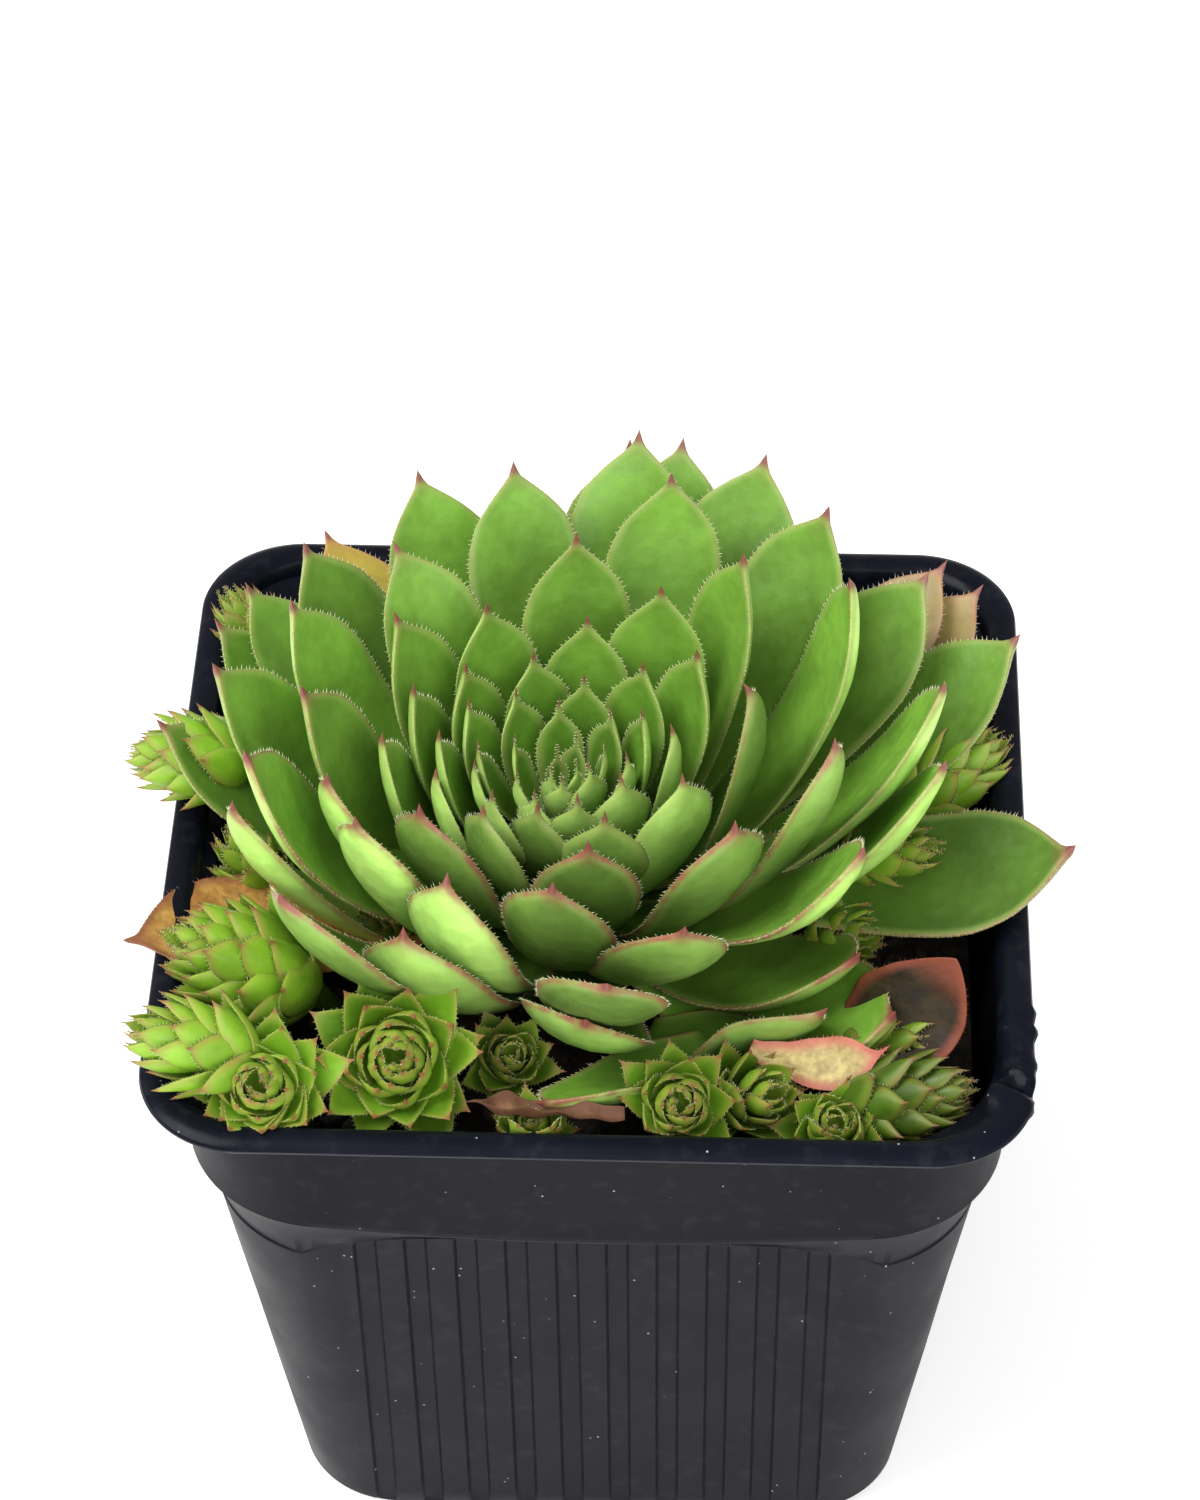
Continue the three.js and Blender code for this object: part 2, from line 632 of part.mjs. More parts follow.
/** A chick: a rooted stalk that bends up into a lobed bud, or into an open rosette. */
function chickGeometry(at, points, diameter, length, open, swell = 0) {
  const middle = new THREE.Vector3(...at);
  const [round, up] = points.map(radians);
  const heading = new THREE.Vector3(
    Math.cos(round) * Math.cos(up),
    Math.sin(round) * Math.cos(up),
    Math.sin(up),
  );
  const base = middle.clone().addScaledVector(heading, -length / 2);
  const apex = middle.clone().addScaledVector(heading, length / 2 + swell);
  const clampRoot = (v) => THREE.MathUtils.clamp(v, -CHICK.rootLimit, CHICK.rootLimit);
  const inwards = new THREE.Vector2(STEM.x - base.x, STEM.y - base.y).setLength(CHICK.leanIn);
  const root = new THREE.Vector3(
    clampRoot(base.x + inwards.x),
    clampRoot(base.y + inwards.y),
    GAP - SOIL.below,
  );
  const stalk = new THREE.QuadraticBezierCurve3(
    root,
    base.clone().addScaledVector(heading, -CHICK.bend),
    base,
  );
  const { sides, lobes, lobeDepth, stalkRadius } = CHICK;
  const ring = (centre, axis, radius, lobing) => {
    const side = UP.clone().cross(axis).normalize();
    const other = axis.clone().cross(side);
    return Array.from({ length: sides }, (_, i) => {
      const angle = (2 * Math.PI * i) / sides;
      const r = radius * (1 + lobing * Math.cos(lobes * angle)) + swell;
      return centre.clone()
        .addScaledVector(side, r * Math.cos(angle))
        .addScaledVector(other, r * Math.sin(angle));
    });
  };
  const rings = [0, 0.5].map((share) => {
    const axis = stalk.getTangent(share).lerp(UP, 0.5).normalize();
    return ring(stalk.getPoint(share), axis, stalkRadius, 0);
  });
  const radius = diameter / 2;
  CLOSED_CHICK.forEach(([closedShare, closedRadius], i) => {
    const [openShare, openRadius] = OPEN_CHICK[i];
    const centre = base.clone().lerp(apex, THREE.MathUtils.lerp(closedShare, openShare, open));
    const wide = THREE.MathUtils.lerp(closedRadius, openRadius, open);
    const isEnd = closedShare === 0 || closedShare === 1;
    rings.push(ring(centre, heading, radius * wide, isEnd ? 0 : lobeDepth));
  });
  return loft(rings);
}

// ---------------------------------------------------------------------------------------------------------
// Assembly

const potted = new THREE.Group();
potted.name = "hens_and_chicks";
const plant = new THREE.Group();
plant.name = "plant";
plant.position.copy(LIP_CENTRE);
potted.add(plant);

function addMesh(group, name, geometry, material, matrix = new THREE.Matrix4()) {
  const mesh = new THREE.Mesh(geometry, material);
  mesh.name = name;
  matrix.decompose(mesh.position, mesh.quaternion, mesh.scale);
  group.add(mesh);
}

addMesh(potted, "pot", geometryOf(potSolid()), FINISHES.pot);
addMesh(potted, "soil", geometryOf(soilSolid()), FINISHES.soil);
addMesh(plant, "hen_heart", geometryOf(heartSolid()), FINISHES.leaf);

/** What later pieces must keep clear of, each already grown by the gap, measured from the lip's centre. */
const toLip = new THREE.Matrix4().setPosition(LIP_CENTRE).invert();
const taken = [
  placedSolid(potGeometry(GAP), toLip),
  placedSolid(geometryOf(soilSolid(GAP)), toLip),
  heartSolid(GAP),
];

/** Fits a piece among those already there: it is cut back where it would press into one. */
function fitIn(geometry, swollen, matrix = new THREE.Matrix4()) {
  let piece = placedSolid(geometry, matrix);
  for (const neighbour of taken) piece = piece.subtract(neighbour);
  taken.push(placedSolid(swollen, matrix));
  return geometryOf(piece).applyMatrix4(matrix.clone().invert());
}

function addLeaf(leaf, material) {
  const fitted = fitIn(leafGeometry(leaf), leafGeometry({ ...leaf, swell: GAP }), leaf.matrix);
  addMesh(plant, leaf.name, fitted, material, leaf.matrix);
}

for (let number = FIRST_FREE_LEAF; number < LAST_LEAF; number++) {
  addLeaf(henLeaf(number), FINISHES.leaf);
}

for (const [name, ...sizes] of CHICKS) {
  addMesh(plant, name, fitIn(chickGeometry(...sizes), chickGeometry(...sizes, GAP)), FINISHES.chick);
}

for (const [name, from, to, width, [flatter, steeper, turn]] of WITHERED) {
  const place = leafPlace(new THREE.Vector3(...from), new THREE.Vector3(...to));
  addLeaf({ name, ...place, width, flatter, steeper, turn }, FINISHES.withered);
}

export default potted;
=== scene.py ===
"""Hens and chicks in a square nursery pot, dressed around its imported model.

The classes hold their sizes in millimetres in the part's frame: the origin is the middle of the pot's
underside, +X is the plant's right, +Y its back and +Z is up. Meshes are written in metres.
"""

from __future__ import annotations

import logging
import math
from dataclasses import dataclass, field, replace
from enum import Enum

import bpy
import numpy as np
from mathutils import Matrix, Vector, noise


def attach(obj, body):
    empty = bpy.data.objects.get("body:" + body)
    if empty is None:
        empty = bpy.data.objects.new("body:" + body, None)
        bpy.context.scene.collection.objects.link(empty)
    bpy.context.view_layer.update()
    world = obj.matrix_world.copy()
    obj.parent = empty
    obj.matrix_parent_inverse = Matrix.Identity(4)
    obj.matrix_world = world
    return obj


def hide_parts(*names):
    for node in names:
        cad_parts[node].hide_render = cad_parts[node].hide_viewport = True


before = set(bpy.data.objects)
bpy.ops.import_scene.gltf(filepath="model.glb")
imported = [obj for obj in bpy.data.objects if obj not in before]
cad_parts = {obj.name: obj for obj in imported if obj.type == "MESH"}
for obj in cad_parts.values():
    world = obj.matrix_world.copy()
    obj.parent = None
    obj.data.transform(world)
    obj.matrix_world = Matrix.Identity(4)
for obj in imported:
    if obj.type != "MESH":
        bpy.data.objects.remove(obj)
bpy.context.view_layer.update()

log = logging.getLogger("hens_and_chicks")

METRES = 0.001
UP = np.array([0.0, 0.0, 1.0])
LIP_CENTRE = np.array([-0.6, 0.0, 73.0])
GOLDEN_ANGLE = 137.508

Knots = tuple[tuple[float, float], ...]
Colour = tuple[float, float, float]


# ----------------------------------------------------------------------------------------------------
# Small tools


def straight_curve(knots: Knots, at: float) -> float:
    """Reads a curve that runs straight between its knots.

    Args:
        knots: The curve's (place, value) pairs, in order.
        at: The place to read.

    Returns:
        The curve's value there.
    """
    places, values = zip(*knots)
    return float(np.interp(at, places, values))


def flat_circle(count: int) -> np.ndarray:
    """Lays points evenly round a level circle of radius 1."""
    angle = 2 * np.pi * np.arange(count) / count
    return np.stack([np.cos(angle), np.sin(angle), np.zeros(count)], axis=1)


def smooth_curve(knots: Knots, at: np.ndarray) -> np.ndarray:
    """Reads a curve that bends smoothly through its knots and never overshoots them.

    Args:
        knots: The curve's (place, value) pairs, in order.
        at: The places to read.

    Returns:
        The curve's values there.
    """
    places, values = (np.array(row, float) for row in zip(*knots))
    gaps = np.diff(places)
    rises = np.diff(values) / gaps
    slopes = np.concatenate([rises[:1], np.zeros(len(rises) - 1), rises[-1:]])
    same_way = rises[:-1] * rises[1:] > 0
    both = rises[:-1] + rises[1:]
    slopes[1:-1][same_way] = 2 * (rises[:-1] * rises[1:])[same_way] / both[same_way]
    at = np.clip(at, places[0], places[-1])
    k = np.clip(np.searchsorted(places, at, side="right") - 1, 0, len(gaps) - 1)
    t = (at - places[k]) / gaps[k]
    return (
        values[k] * (1 + 2 * t) * (1 - t) ** 2
        + values[k + 1] * t * t * (3 - 2 * t)
        + gaps[k] * t * (1 - t) * (slopes[k] * (1 - t) - slopes[k + 1] * t)
    )


def ease(value: np.ndarray, start: float, end: float) -> np.ndarray:
    """Rises softly from 0 at start to 1 at end.

    Args:
        value: Where to read.
        start: The place of 0.
        end: The place of 1.

    Returns:
        The eased share.
    """
    share = np.clip((value - start) / (end - start), 0, 1)
    return share * share * (3 - 2 * share)


def unit(vector: np.ndarray) -> np.ndarray:
    """Returns the vector, or each of the vectors, at length 1."""
    return vector / np.linalg.norm(vector, axis=-1, keepdims=True)


def round_grid_faces(rings: int, around: int) -> np.ndarray:
    """Lists the quads of a tube of rings.

    Args:
        rings: How many rings there are.
        around: How many points each ring has.

    Returns:
        One row of four point numbers for each quad.
    """
    ring, step = np.meshgrid(np.arange(rings - 1), np.arange(around), indexing="ij")
    here = ring * around + step
    beside = ring * around + (step + 1) % around
    quads = [here, beside, beside + around, here + around]
    return np.stack([quad.ravel() for quad in quads], axis=1)


@dataclass
class Patchwork:
    """Closed surfaces gathered into one mesh, with what their finish needs to know at each point.

    blade is (mm from the margin, mm from the tip, 0 above to 1 below); a hair has a negative margin.
    leaf is (tone, age, blush), each from 0 to 1; on leaves, tone also carries painted light and shade.
    """

    points: list[np.ndarray] = field(default_factory=list)
    faces: list[list[int]] = field(default_factory=list)
    blade: list[np.ndarray] = field(default_factory=list)
    leaf: list[np.ndarray] = field(default_factory=list)
    count: int = 0

    def add(
        self, points: np.ndarray, faces: np.ndarray, blade: np.ndarray, leaf: tuple[float, float, float]
    ) -> None:
        """Adds one surface.

        Args:
            points: Its points in millimetres.
            faces: Its faces, as rows of point numbers.
            blade: The blade values, one row for each point or one for all.
            leaf: The leaf values for all its points.
        """
        self.points.append(points)
        self.faces.extend((faces + self.count).tolist())
        self.blade.append(np.broadcast_to(np.asarray(blade, float), (len(points), 3)))
        self.leaf.append(np.broadcast_to(np.asarray(leaf, float), (len(points), 3)))
        self.count += len(points)

    def add_tube(
        self, rings: np.ndarray, blade: np.ndarray, leaf: tuple[float, float, float]
    ) -> None:
        """Adds a tube of rings whose two ends are closed by fans.

        Args:
            rings: The points, as (ring, around, xyz).
            blade: The blade values, as (ring, around, 3) or one row for all.
            leaf: The leaf values for all its points.
        """
        count, around, _ = rings.shape
        middles = rings[[0, -1]].mean(axis=1)
        points = np.concatenate([rings.reshape(-1, 3), middles])
        blade = np.broadcast_to(np.asarray(blade, float), rings.shape)
        ends = blade[[0, -1]].mean(axis=1)
        blade = np.concatenate([blade.reshape(-1, 3), ends])
        self.add(points, round_grid_faces(count, around), blade, leaf)
        first = self.count - len(points)
        last_ring, middle = first + (count - 1) * around, first + count * around
        for i in range(around):
            j = (i + 1) % around
            self.faces.append([first + j, first + i, middle])
            self.faces.append([last_ring + i, last_ring + j, middle + 1])

    def piece(self, name: str, finish: bpy.types.Material) -> bpy.types.Object:
        """Makes the mesh object.

        Args:
            name: The piece's name.
            finish: Its material.

        Returns:
            The new object, linked to the scene.
        """
        mesh = bpy.data.meshes.new(name)
        mesh.from_pydata(np.concatenate(self.points) * METRES, [], self.faces)
        for label, rows in (("blade", self.blade), ("leaf", self.leaf)):
            values = mesh.attributes.new(label, "FLOAT_VECTOR", "POINT")
            values.data.foreach_set("vector", np.concatenate(rows).astype(np.float32).ravel())
        mesh.shade_smooth()
        mesh.materials.append(finish)
        piece = bpy.data.objects.new(name, mesh)
        bpy.context.scene.collection.objects.link(piece)
        return piece


def settle(piece: bpy.types.Object, slot: str, *nodes: str) -> None:
    """Fixes a finished piece to the model and reports it.

    Args:
        piece: The piece, already in place.
        slot: The record's material slot for the piece; not used.
        nodes: The CAD nodes that it stands for.
    """
    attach(piece, "root")
    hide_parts(*nodes)
    log.info("%s: %d faces, stands for %s", piece.name, len(piece.data.polygons), ", ".join(nodes))


# ----------------------------------------------------------------------------------------------------
# Finishes


class NodeBench:
    """A material's node tree, with short calls to add nodes and join them."""

    def __init__(self, name: str) -> None:
        """Starts a material with a lone Principled shader."""
        self.material = bpy.data.materials.new(name)
        self.material.use_nodes = True
        self.tree = self.material.node_tree
        self.shader = self.tree.nodes["Principled BSDF"]

    def put(self, kind: str, inputs: dict[str | int, object], **settings: object) -> bpy.types.Node:
        """Adds a node.

        Args:
            kind: The node's type, without its ShaderNode prefix.
            inputs: What goes into its sockets: other nodes' outputs, or plain values.
            settings: The node's own settings.

        Returns:
            The new node.
        """
        node = self.tree.nodes.new("ShaderNode" + kind)
        for key, value in settings.items():
            setattr(node, key, value)
        for key, value in inputs.items():
            self.feed(node.inputs[key], value)
        return node

    def feed(self, socket: bpy.types.NodeSocket, value: object) -> None:
        """Joins an output to a socket, or sets the socket's own value."""
        if isinstance(value, bpy.types.NodeSocket):
            self.tree.links.new(value, socket)
        elif isinstance(value, tuple) and len(value) == 3 and socket.type == "RGBA":
            socket.default_value = (*value, 1)
        else:
            socket.default_value = value

    def dress(self, **inputs: object) -> bpy.types.Material:
        """Feeds the shader's sockets and returns the material; an underscore stands for a space."""
        for key, value in inputs.items():
            self.feed(self.shader.inputs[key.replace("_", " ")], value)
        return self.material

    def carried(self, label: str) -> list[bpy.types.NodeSocket]:
        """Returns the three values that the mesh carries under a label."""
        read = self.put("Attribute", {}, attribute_name=label)
        return list(self.put("SeparateXYZ", {0: read.outputs["Vector"]}).outputs)

    def blend(self, share: object, low: object, high: object) -> bpy.types.NodeSocket:
        """Mixes two colours: low at share 0, high at share 1."""
        mixed = self.put("Mix", {}, data_type="RGBA")
        sockets = (mixed.inputs[0], mixed.inputs[6], mixed.inputs[7])
        for socket, value in zip(sockets, (share, low, high)):
            self.feed(socket, value)
        return mixed.outputs[2]

    def tint(self, colour: object, by: object) -> bpy.types.NodeSocket:
        """Multiplies a colour by a grey value."""
        scaled = self.put("VectorMath", {0: colour, "Scale": by}, operation="SCALE")
        return scaled.outputs[0]

    def ramp(
        self, value: object, low: float, high: float, to_low: float = 0, to_high: float = 1
    ) -> object:
        """Maps a value softly from one span to another, and holds it at the ends."""
        spans = {1: low, 2: high, 3: to_low, 4: to_high}
        return self.put("MapRange", {0: value, **spans}, interpolation_type="SMOOTHSTEP").outputs[0]

    def sum(self, *terms: object, operation: str = "ADD") -> object:
        """Adds the values up, or joins them by another operation."""
        total = terms[0]
        for term in terms[1:]:
            total = self.put("Math", {0: total, 1: term}, operation=operation).outputs[0]
        return total

    def product(self, *factors: object) -> object:
        """Multiplies the values."""
        return self.sum(*factors, operation="MULTIPLY")

    def grain(self, size: float, detail: float = 2, stretch: Colour = (1, 1, 1)) -> object:
        """Returns a noise value from 0 to 1.

        Args:
            size: The size of its blotches in millimetres.
            detail: How many finer layers it has.
            stretch: How much denser it is along each axis.

        Returns:
            The noise node's value socket.
        """
        where = self.put("TexCoord", {}).outputs["Object"]
        placed = self.put("Mapping", {"Vector": where, "Scale": stretch})
        inputs = {"Vector": placed.outputs[0], "Scale": 1 / (size * METRES), "Detail": detail}
        return self.put("TexNoise", inputs).outputs["Fac"]

    def relief(self, *layers: tuple[object, float, float]) -> object:
        """Stacks bumps.

        Args:
            layers: For each, its height value, its height in millimetres and its strength.

        Returns:
            The normal socket.
        """
        normal = None
        for height, depth, strength in layers:
            inputs = {"Height": height, "Distance": depth * METRES, "Strength": strength}
            if normal is not None:
                inputs["Normal"] = normal
            normal = self.put("Bump", inputs).outputs["Normal"]
        return normal


@dataclass(frozen=True)
class LeafFinish:
    """The skin of a fleshy leaf: green blade, pale rim, red margin, brown spine, pale hairs."""

    name: str
    young: Colour
    old: Colour
    under: Colour
    rim: Colour
    red: Colour
    spine: Colour
    hair: Colour
    blotch: Colour
    blotch_share: float
    # How dark to light a leaf's tone makes it: its own tone together with painted light and shade.
    tone_span_with_painted_light: tuple[float, float] = (0.5, 1.3)
    # How pale a leaf's underside turns, by tone: its own paler green together with painted light from the
    # floor below.
    underside: tuple[float, float] = (0.25, 1.0)
    flush_reach: float = 4.0
    # How far painted shade darkens the leaves of lowest tone.
    shaded: float = 1.0
    roughness: float = 0.4

    def material(self) -> bpy.types.Material:
        """Builds the leaf's material from what each point carries."""
        bench = NodeBench(self.name)
        margin, to_tip, below = bench.carried("blade")
        tone, age, blush = bench.carried("leaf")
        cloud = bench.grain(5.5, 3)
        mottle = bench.grain(1.3, 4)
        green = bench.blend(age, self.young, self.old)
        # Partly painted light: undersides take their own paler green, made lighter still for the light
        # that the floor throws up under them.
        underside_paleness_and_painted_light = bench.product(below, bench.ramp(tone, 0.1, 0.8, *self.underside))
        green = bench.blend(underside_paleness_and_painted_light, green, self.under)
        # Painted light and shade: the tone brings its painted light and shade, and near_tip paints shade
        # towards the leaf's base and light towards its tip; cloud and mottle are the blade's own uneven
        # green.
        near_tip = bench.ramp(to_tip, 16, 2)
        painted_shade_and_mottle = bench.product(
            bench.ramp(tone, 0, 1, *self.tone_span_with_painted_light),
            bench.ramp(cloud, 0.3, 0.7, 0.86, 1.12),
            bench.ramp(mottle, 0.3, 0.7, 0.94, 1.06),
            bench.ramp(near_tip, 0, 1, 0.84, 1.14),
        )
        green = bench.tint(green, painted_shade_and_mottle)
        blotched = bench.product(
            bench.ramp(to_tip, 1.2 * self.flush_reach, 0.3 * self.flush_reach),
            bench.ramp(bench.grain(1.9, 2), 0.46, 0.62),
            self.blotch_share,
        )
        green = bench.blend(blotched, green, self.blotch)
        green = bench.blend(bench.ramp(margin, 1.3, 0.2, 0, 0.55), green, self.rim)
        uneven = bench.ramp(bench.grain(1.6, 3), 0.32, 0.68, 0.35, 1)
        edge = bench.product(bench.ramp(margin, 0.62, 0.12), uneven, blush)
        green = bench.blend(edge, green, self.red)
        flush = bench.product(bench.ramp(to_tip, self.flush_reach, 0.4 * self.flush_reach), blush, 0.5)
        green = bench.blend(flush, green, self.red)
        at_spine = bench.ramp(to_tip, 0.5 * self.flush_reach, 0.22 * self.flush_reach, 0, 0.9)
        green = bench.blend(at_spine, green, self.spine)
        hair = bench.ramp(margin, -0.1, -0.6)
        green = bench.blend(hair, green, self.hair)
        # Painted shade: leaves of low tone are darkened further, down to the shaded share.
        green = bench.tint(green, bench.ramp(tone, 0, 0.6, self.shaded, 1))
        rough = bench.ramp(mottle, 0.25, 0.75, self.roughness - 0.06, self.roughness + 0.1)
        normal = bench.relief((cloud, 0.7, 0.4), (bench.grain(0.35, 2), 0.04, 0.5))
        return bench.dress(
            Base_Color=green,
            Roughness=rough,
            Normal=normal,
            Specular_IOR_Level=0.38,
            Subsurface_Weight=0.14,
            Subsurface_Radius=(0.6, 1.0, 0.25),
            Subsurface_Scale=1.2 * METRES,
        )


@dataclass(frozen=True)
class DryFinish:
    """A withered leaf: papery, blotched between two colours, with a burnt or flushed margin."""

    name: str
    pale: Colour
    deep: Colour
    margin: Colour
    roughness: float = 0.7

    def material(self) -> bpy.types.Material:
        """Builds the withered leaf's material."""
        bench = NodeBench(self.name)
        margin, to_tip, _ = bench.carried("blade")
        cloud = bench.grain(3.2, 4)
        fibres = bench.grain(0.7, 3)
        colour = bench.blend(bench.ramp(cloud, 0.35, 0.65), self.pale, self.deep)
        colour = bench.tint(colour, bench.ramp(fibres, 0.25, 0.75, 0.75, 1.2))
        colour = bench.blend(bench.ramp(margin, 1.6, 0.2, 0, 0.85), colour, self.margin)
        colour = bench.blend(bench.ramp(to_tip, 5, 1, 0, 0.8), colour, self.margin)
        rough = bench.ramp(fibres, 0.2, 0.8, self.roughness - 0.12, self.roughness + 0.1)
        normal = bench.relief((cloud, 0.6, 0.5), (fibres, 0.12, 0.6))
        return bench.dress(
            Base_Color=colour,
            Roughness=rough,
            Normal=normal,
            Specular_IOR_Level=0.3,
            Subsurface_Weight=0.08,
            Subsurface_Radius=(1.0, 0.6, 0.3),
            Subsurface_Scale=0.8 * METRES,
        )


@dataclass(frozen=True)
class PlasticFinish:
    """The pot's thin black plastic: satin walls, a smoother lip, dust and fine scratches."""

    name: str = "nursery_plastic"
    wall: Colour = (0.0028, 0.0028, 0.0055)
    lip: Colour = (0.0034, 0.004, 0.0085)
    dust: Colour = (0.42, 0.42, 0.44)

    def material(self) -> bpy.types.Material:
        """Builds the plastic; the lip is told from the walls by its height."""
        bench = NodeBench(self.name)
        where = bench.put("TexCoord", {}).outputs["Object"]
        height = bench.put("SeparateXYZ", {0: where}).outputs[2]
        at_lip = bench.ramp(height, 0.0705, 0.0722)
        cloud = bench.grain(9, 4)
        colour = bench.blend(at_lip, self.wall, self.lip)
        colour = bench.tint(colour, bench.ramp(cloud, 0.3, 0.7, 0.85, 1.2))
        film = bench.product(bench.ramp(bench.grain(2.2, 6), 0.52, 0.72), 0.012)
        colour = bench.blend(film, colour, self.dust)
        cells = bench.put("TexVoronoi", {"Vector": where, "Scale": 1 / (1.9 * METRES)})
        speck = bench.product(
            bench.ramp(cells.outputs["Distance"], 0.075, 0.045),
            bench.ramp(bench.grain(4, 1), 0.5, 0.55),
        )
        colour = bench.blend(bench.product(speck, 0.7), colour, self.dust)
        rough = bench.sum(bench.ramp(at_lip, 0, 1, 0.44, 0.27), bench.ramp(cloud, 0.2, 0.8, -0.04, 0.08))
        rough = bench.sum(rough, bench.product(speck, 0.3))
        scratches = bench.grain(0.5, 3, (1, 1, 0.08))
        normal = bench.relief((bench.grain(14, 2), 0.35, 0.25), (scratches, 0.012, 0.5))
        return bench.dress(
            Base_Color=colour,
            Roughness=rough,
            Normal=normal,
            Specular_IOR_Level=0.08,
        )


@dataclass(frozen=True)
class SoilFinish:
    """Dark damp potting mix with lighter bark crumbs."""

    name: str = "potting_mix"
    damp: Colour = (0.005, 0.0035, 0.0022)
    dry: Colour = (0.018, 0.012, 0.008)
    bark: Colour = (0.06, 0.034, 0.018)

    def material(self) -> bpy.types.Material:
        """Builds the potting mix; crumbs carry their own tone."""
        bench = NodeBench(self.name)
        tone, _, is_bark = bench.carried("leaf")
        crumbs = bench.grain(1.1, 5)
        colour = bench.blend(bench.ramp(crumbs, 0.35, 0.65), self.damp, self.dry)
        colour = bench.blend(is_bark, colour, self.bark)
        colour = bench.tint(colour, bench.ramp(tone, 0, 1, 0.6, 1.4))
        normal = bench.relief((crumbs, 0.5, 0.8), (bench.grain(0.3, 4), 0.1, 0.8))
        return bench.dress(
            Base_Color=colour,
            Roughness=bench.ramp(crumbs, 0.2, 0.8, 0.75, 0.97),
            Normal=normal,
            Specular_IOR_Level=0.25,
        )


class LeafKind(Enum):
    """The finishes that living leaves come in."""

    MOTHER = LeafFinish(
        name="mother_leaf",
        young=(0.05, 0.125, 0.008),
        old=(0.125, 0.26, 0.028),
        # The underside's own paler green, lightened with painted light from the floor below.
        under=(0.37, 0.60, 0.13),
        rim=(0.27, 0.36, 0.09),
        red=(0.27, 0.06, 0.06),
        spine=(0.19, 0.045, 0.045),
        hair=(0.58, 0.60, 0.34),
        blotch=(0.24, 0.17, 0.05),
        blotch_share=0.1,
    )
    CHICK = LeafFinish(
        name="chick_leaf",
        young=(0.17, 0.34, 0.014),
        old=(0.13, 0.29, 0.012),
        under=(0.18, 0.35, 0.018),
        rim=(0.24, 0.35, 0.035),
        red=(0.29, 0.12, 0.05),
        spine=(0.23, 0.08, 0.04),
        hair=(0.50, 0.58, 0.22),
        blotch=(0.28, 0.16, 0.06),
        blotch_share=0.5,
        # The wide span and the shaded share darken chicks of low light with painted shade.
        tone_span_with_painted_light=(0.34, 1.0),
        flush_reach=2.0,
        roughness=0.46,
        shaded=0.55,
    )
    REDDENED = LeafFinish(
        name="reddened_leaf",
        young=(0.22, 0.20, 0.06),
        old=(0.26, 0.20, 0.07),
        under=(0.24, 0.24, 0.08),
        rim=(0.34, 0.18, 0.08),
        red=(0.30, 0.07, 0.06),
        spine=(0.17, 0.04, 0.04),
        hair=(0.60, 0.52, 0.42),
        blotch=(0.32, 0.11, 0.08),
        blotch_share=0.7,
    )
    YELLOWED = LeafFinish(
        name="yellowed_leaf",
        young=(0.36, 0.30, 0.05),
        old=(0.40, 0.30, 0.05),
        under=(0.36, 0.36, 0.07),
        rim=(0.50, 0.30, 0.09),
        red=(0.42, 0.15, 0.07),
        spine=(0.24, 0.07, 0.05),
        hair=(0.62, 0.52, 0.38),
        blotch=(0.45, 0.24, 0.08),
        blotch_share=0.5,
    )


class DryKind(Enum):
    """The finishes that withered leaves come in."""

    ORANGE = DryFinish(
        "withered_orange", (0.44, 0.24, 0.06), (0.34, 0.15, 0.04), (0.22, 0.08, 0.04), 0.55
    )
    BROWN = DryFinish(
        "withered_brown", (0.22, 0.11, 0.055), (0.12, 0.055, 0.026), (0.10, 0.04, 0.022)
    )
    DUSKY = DryFinish(
        "withered_dusky", (0.03, 0.02, 0.007), (0.015, 0.01, 0.005), (0.2, 0.05, 0.025)
    )
    STRAW = DryFinish("withered_straw", (0.52, 0.42, 0.18), (0.38, 0.30, 0.13), (0.45, 0.12, 0.10))


def stock(kinds: type[Enum]) -> dict[Enum, bpy.types.Material]:
    """Makes every material of a range once and returns them by kind."""
    return {kind: kind.value.material() for kind in kinds}


# ----------------------------------------------------------------------------------------------------
# Leaves


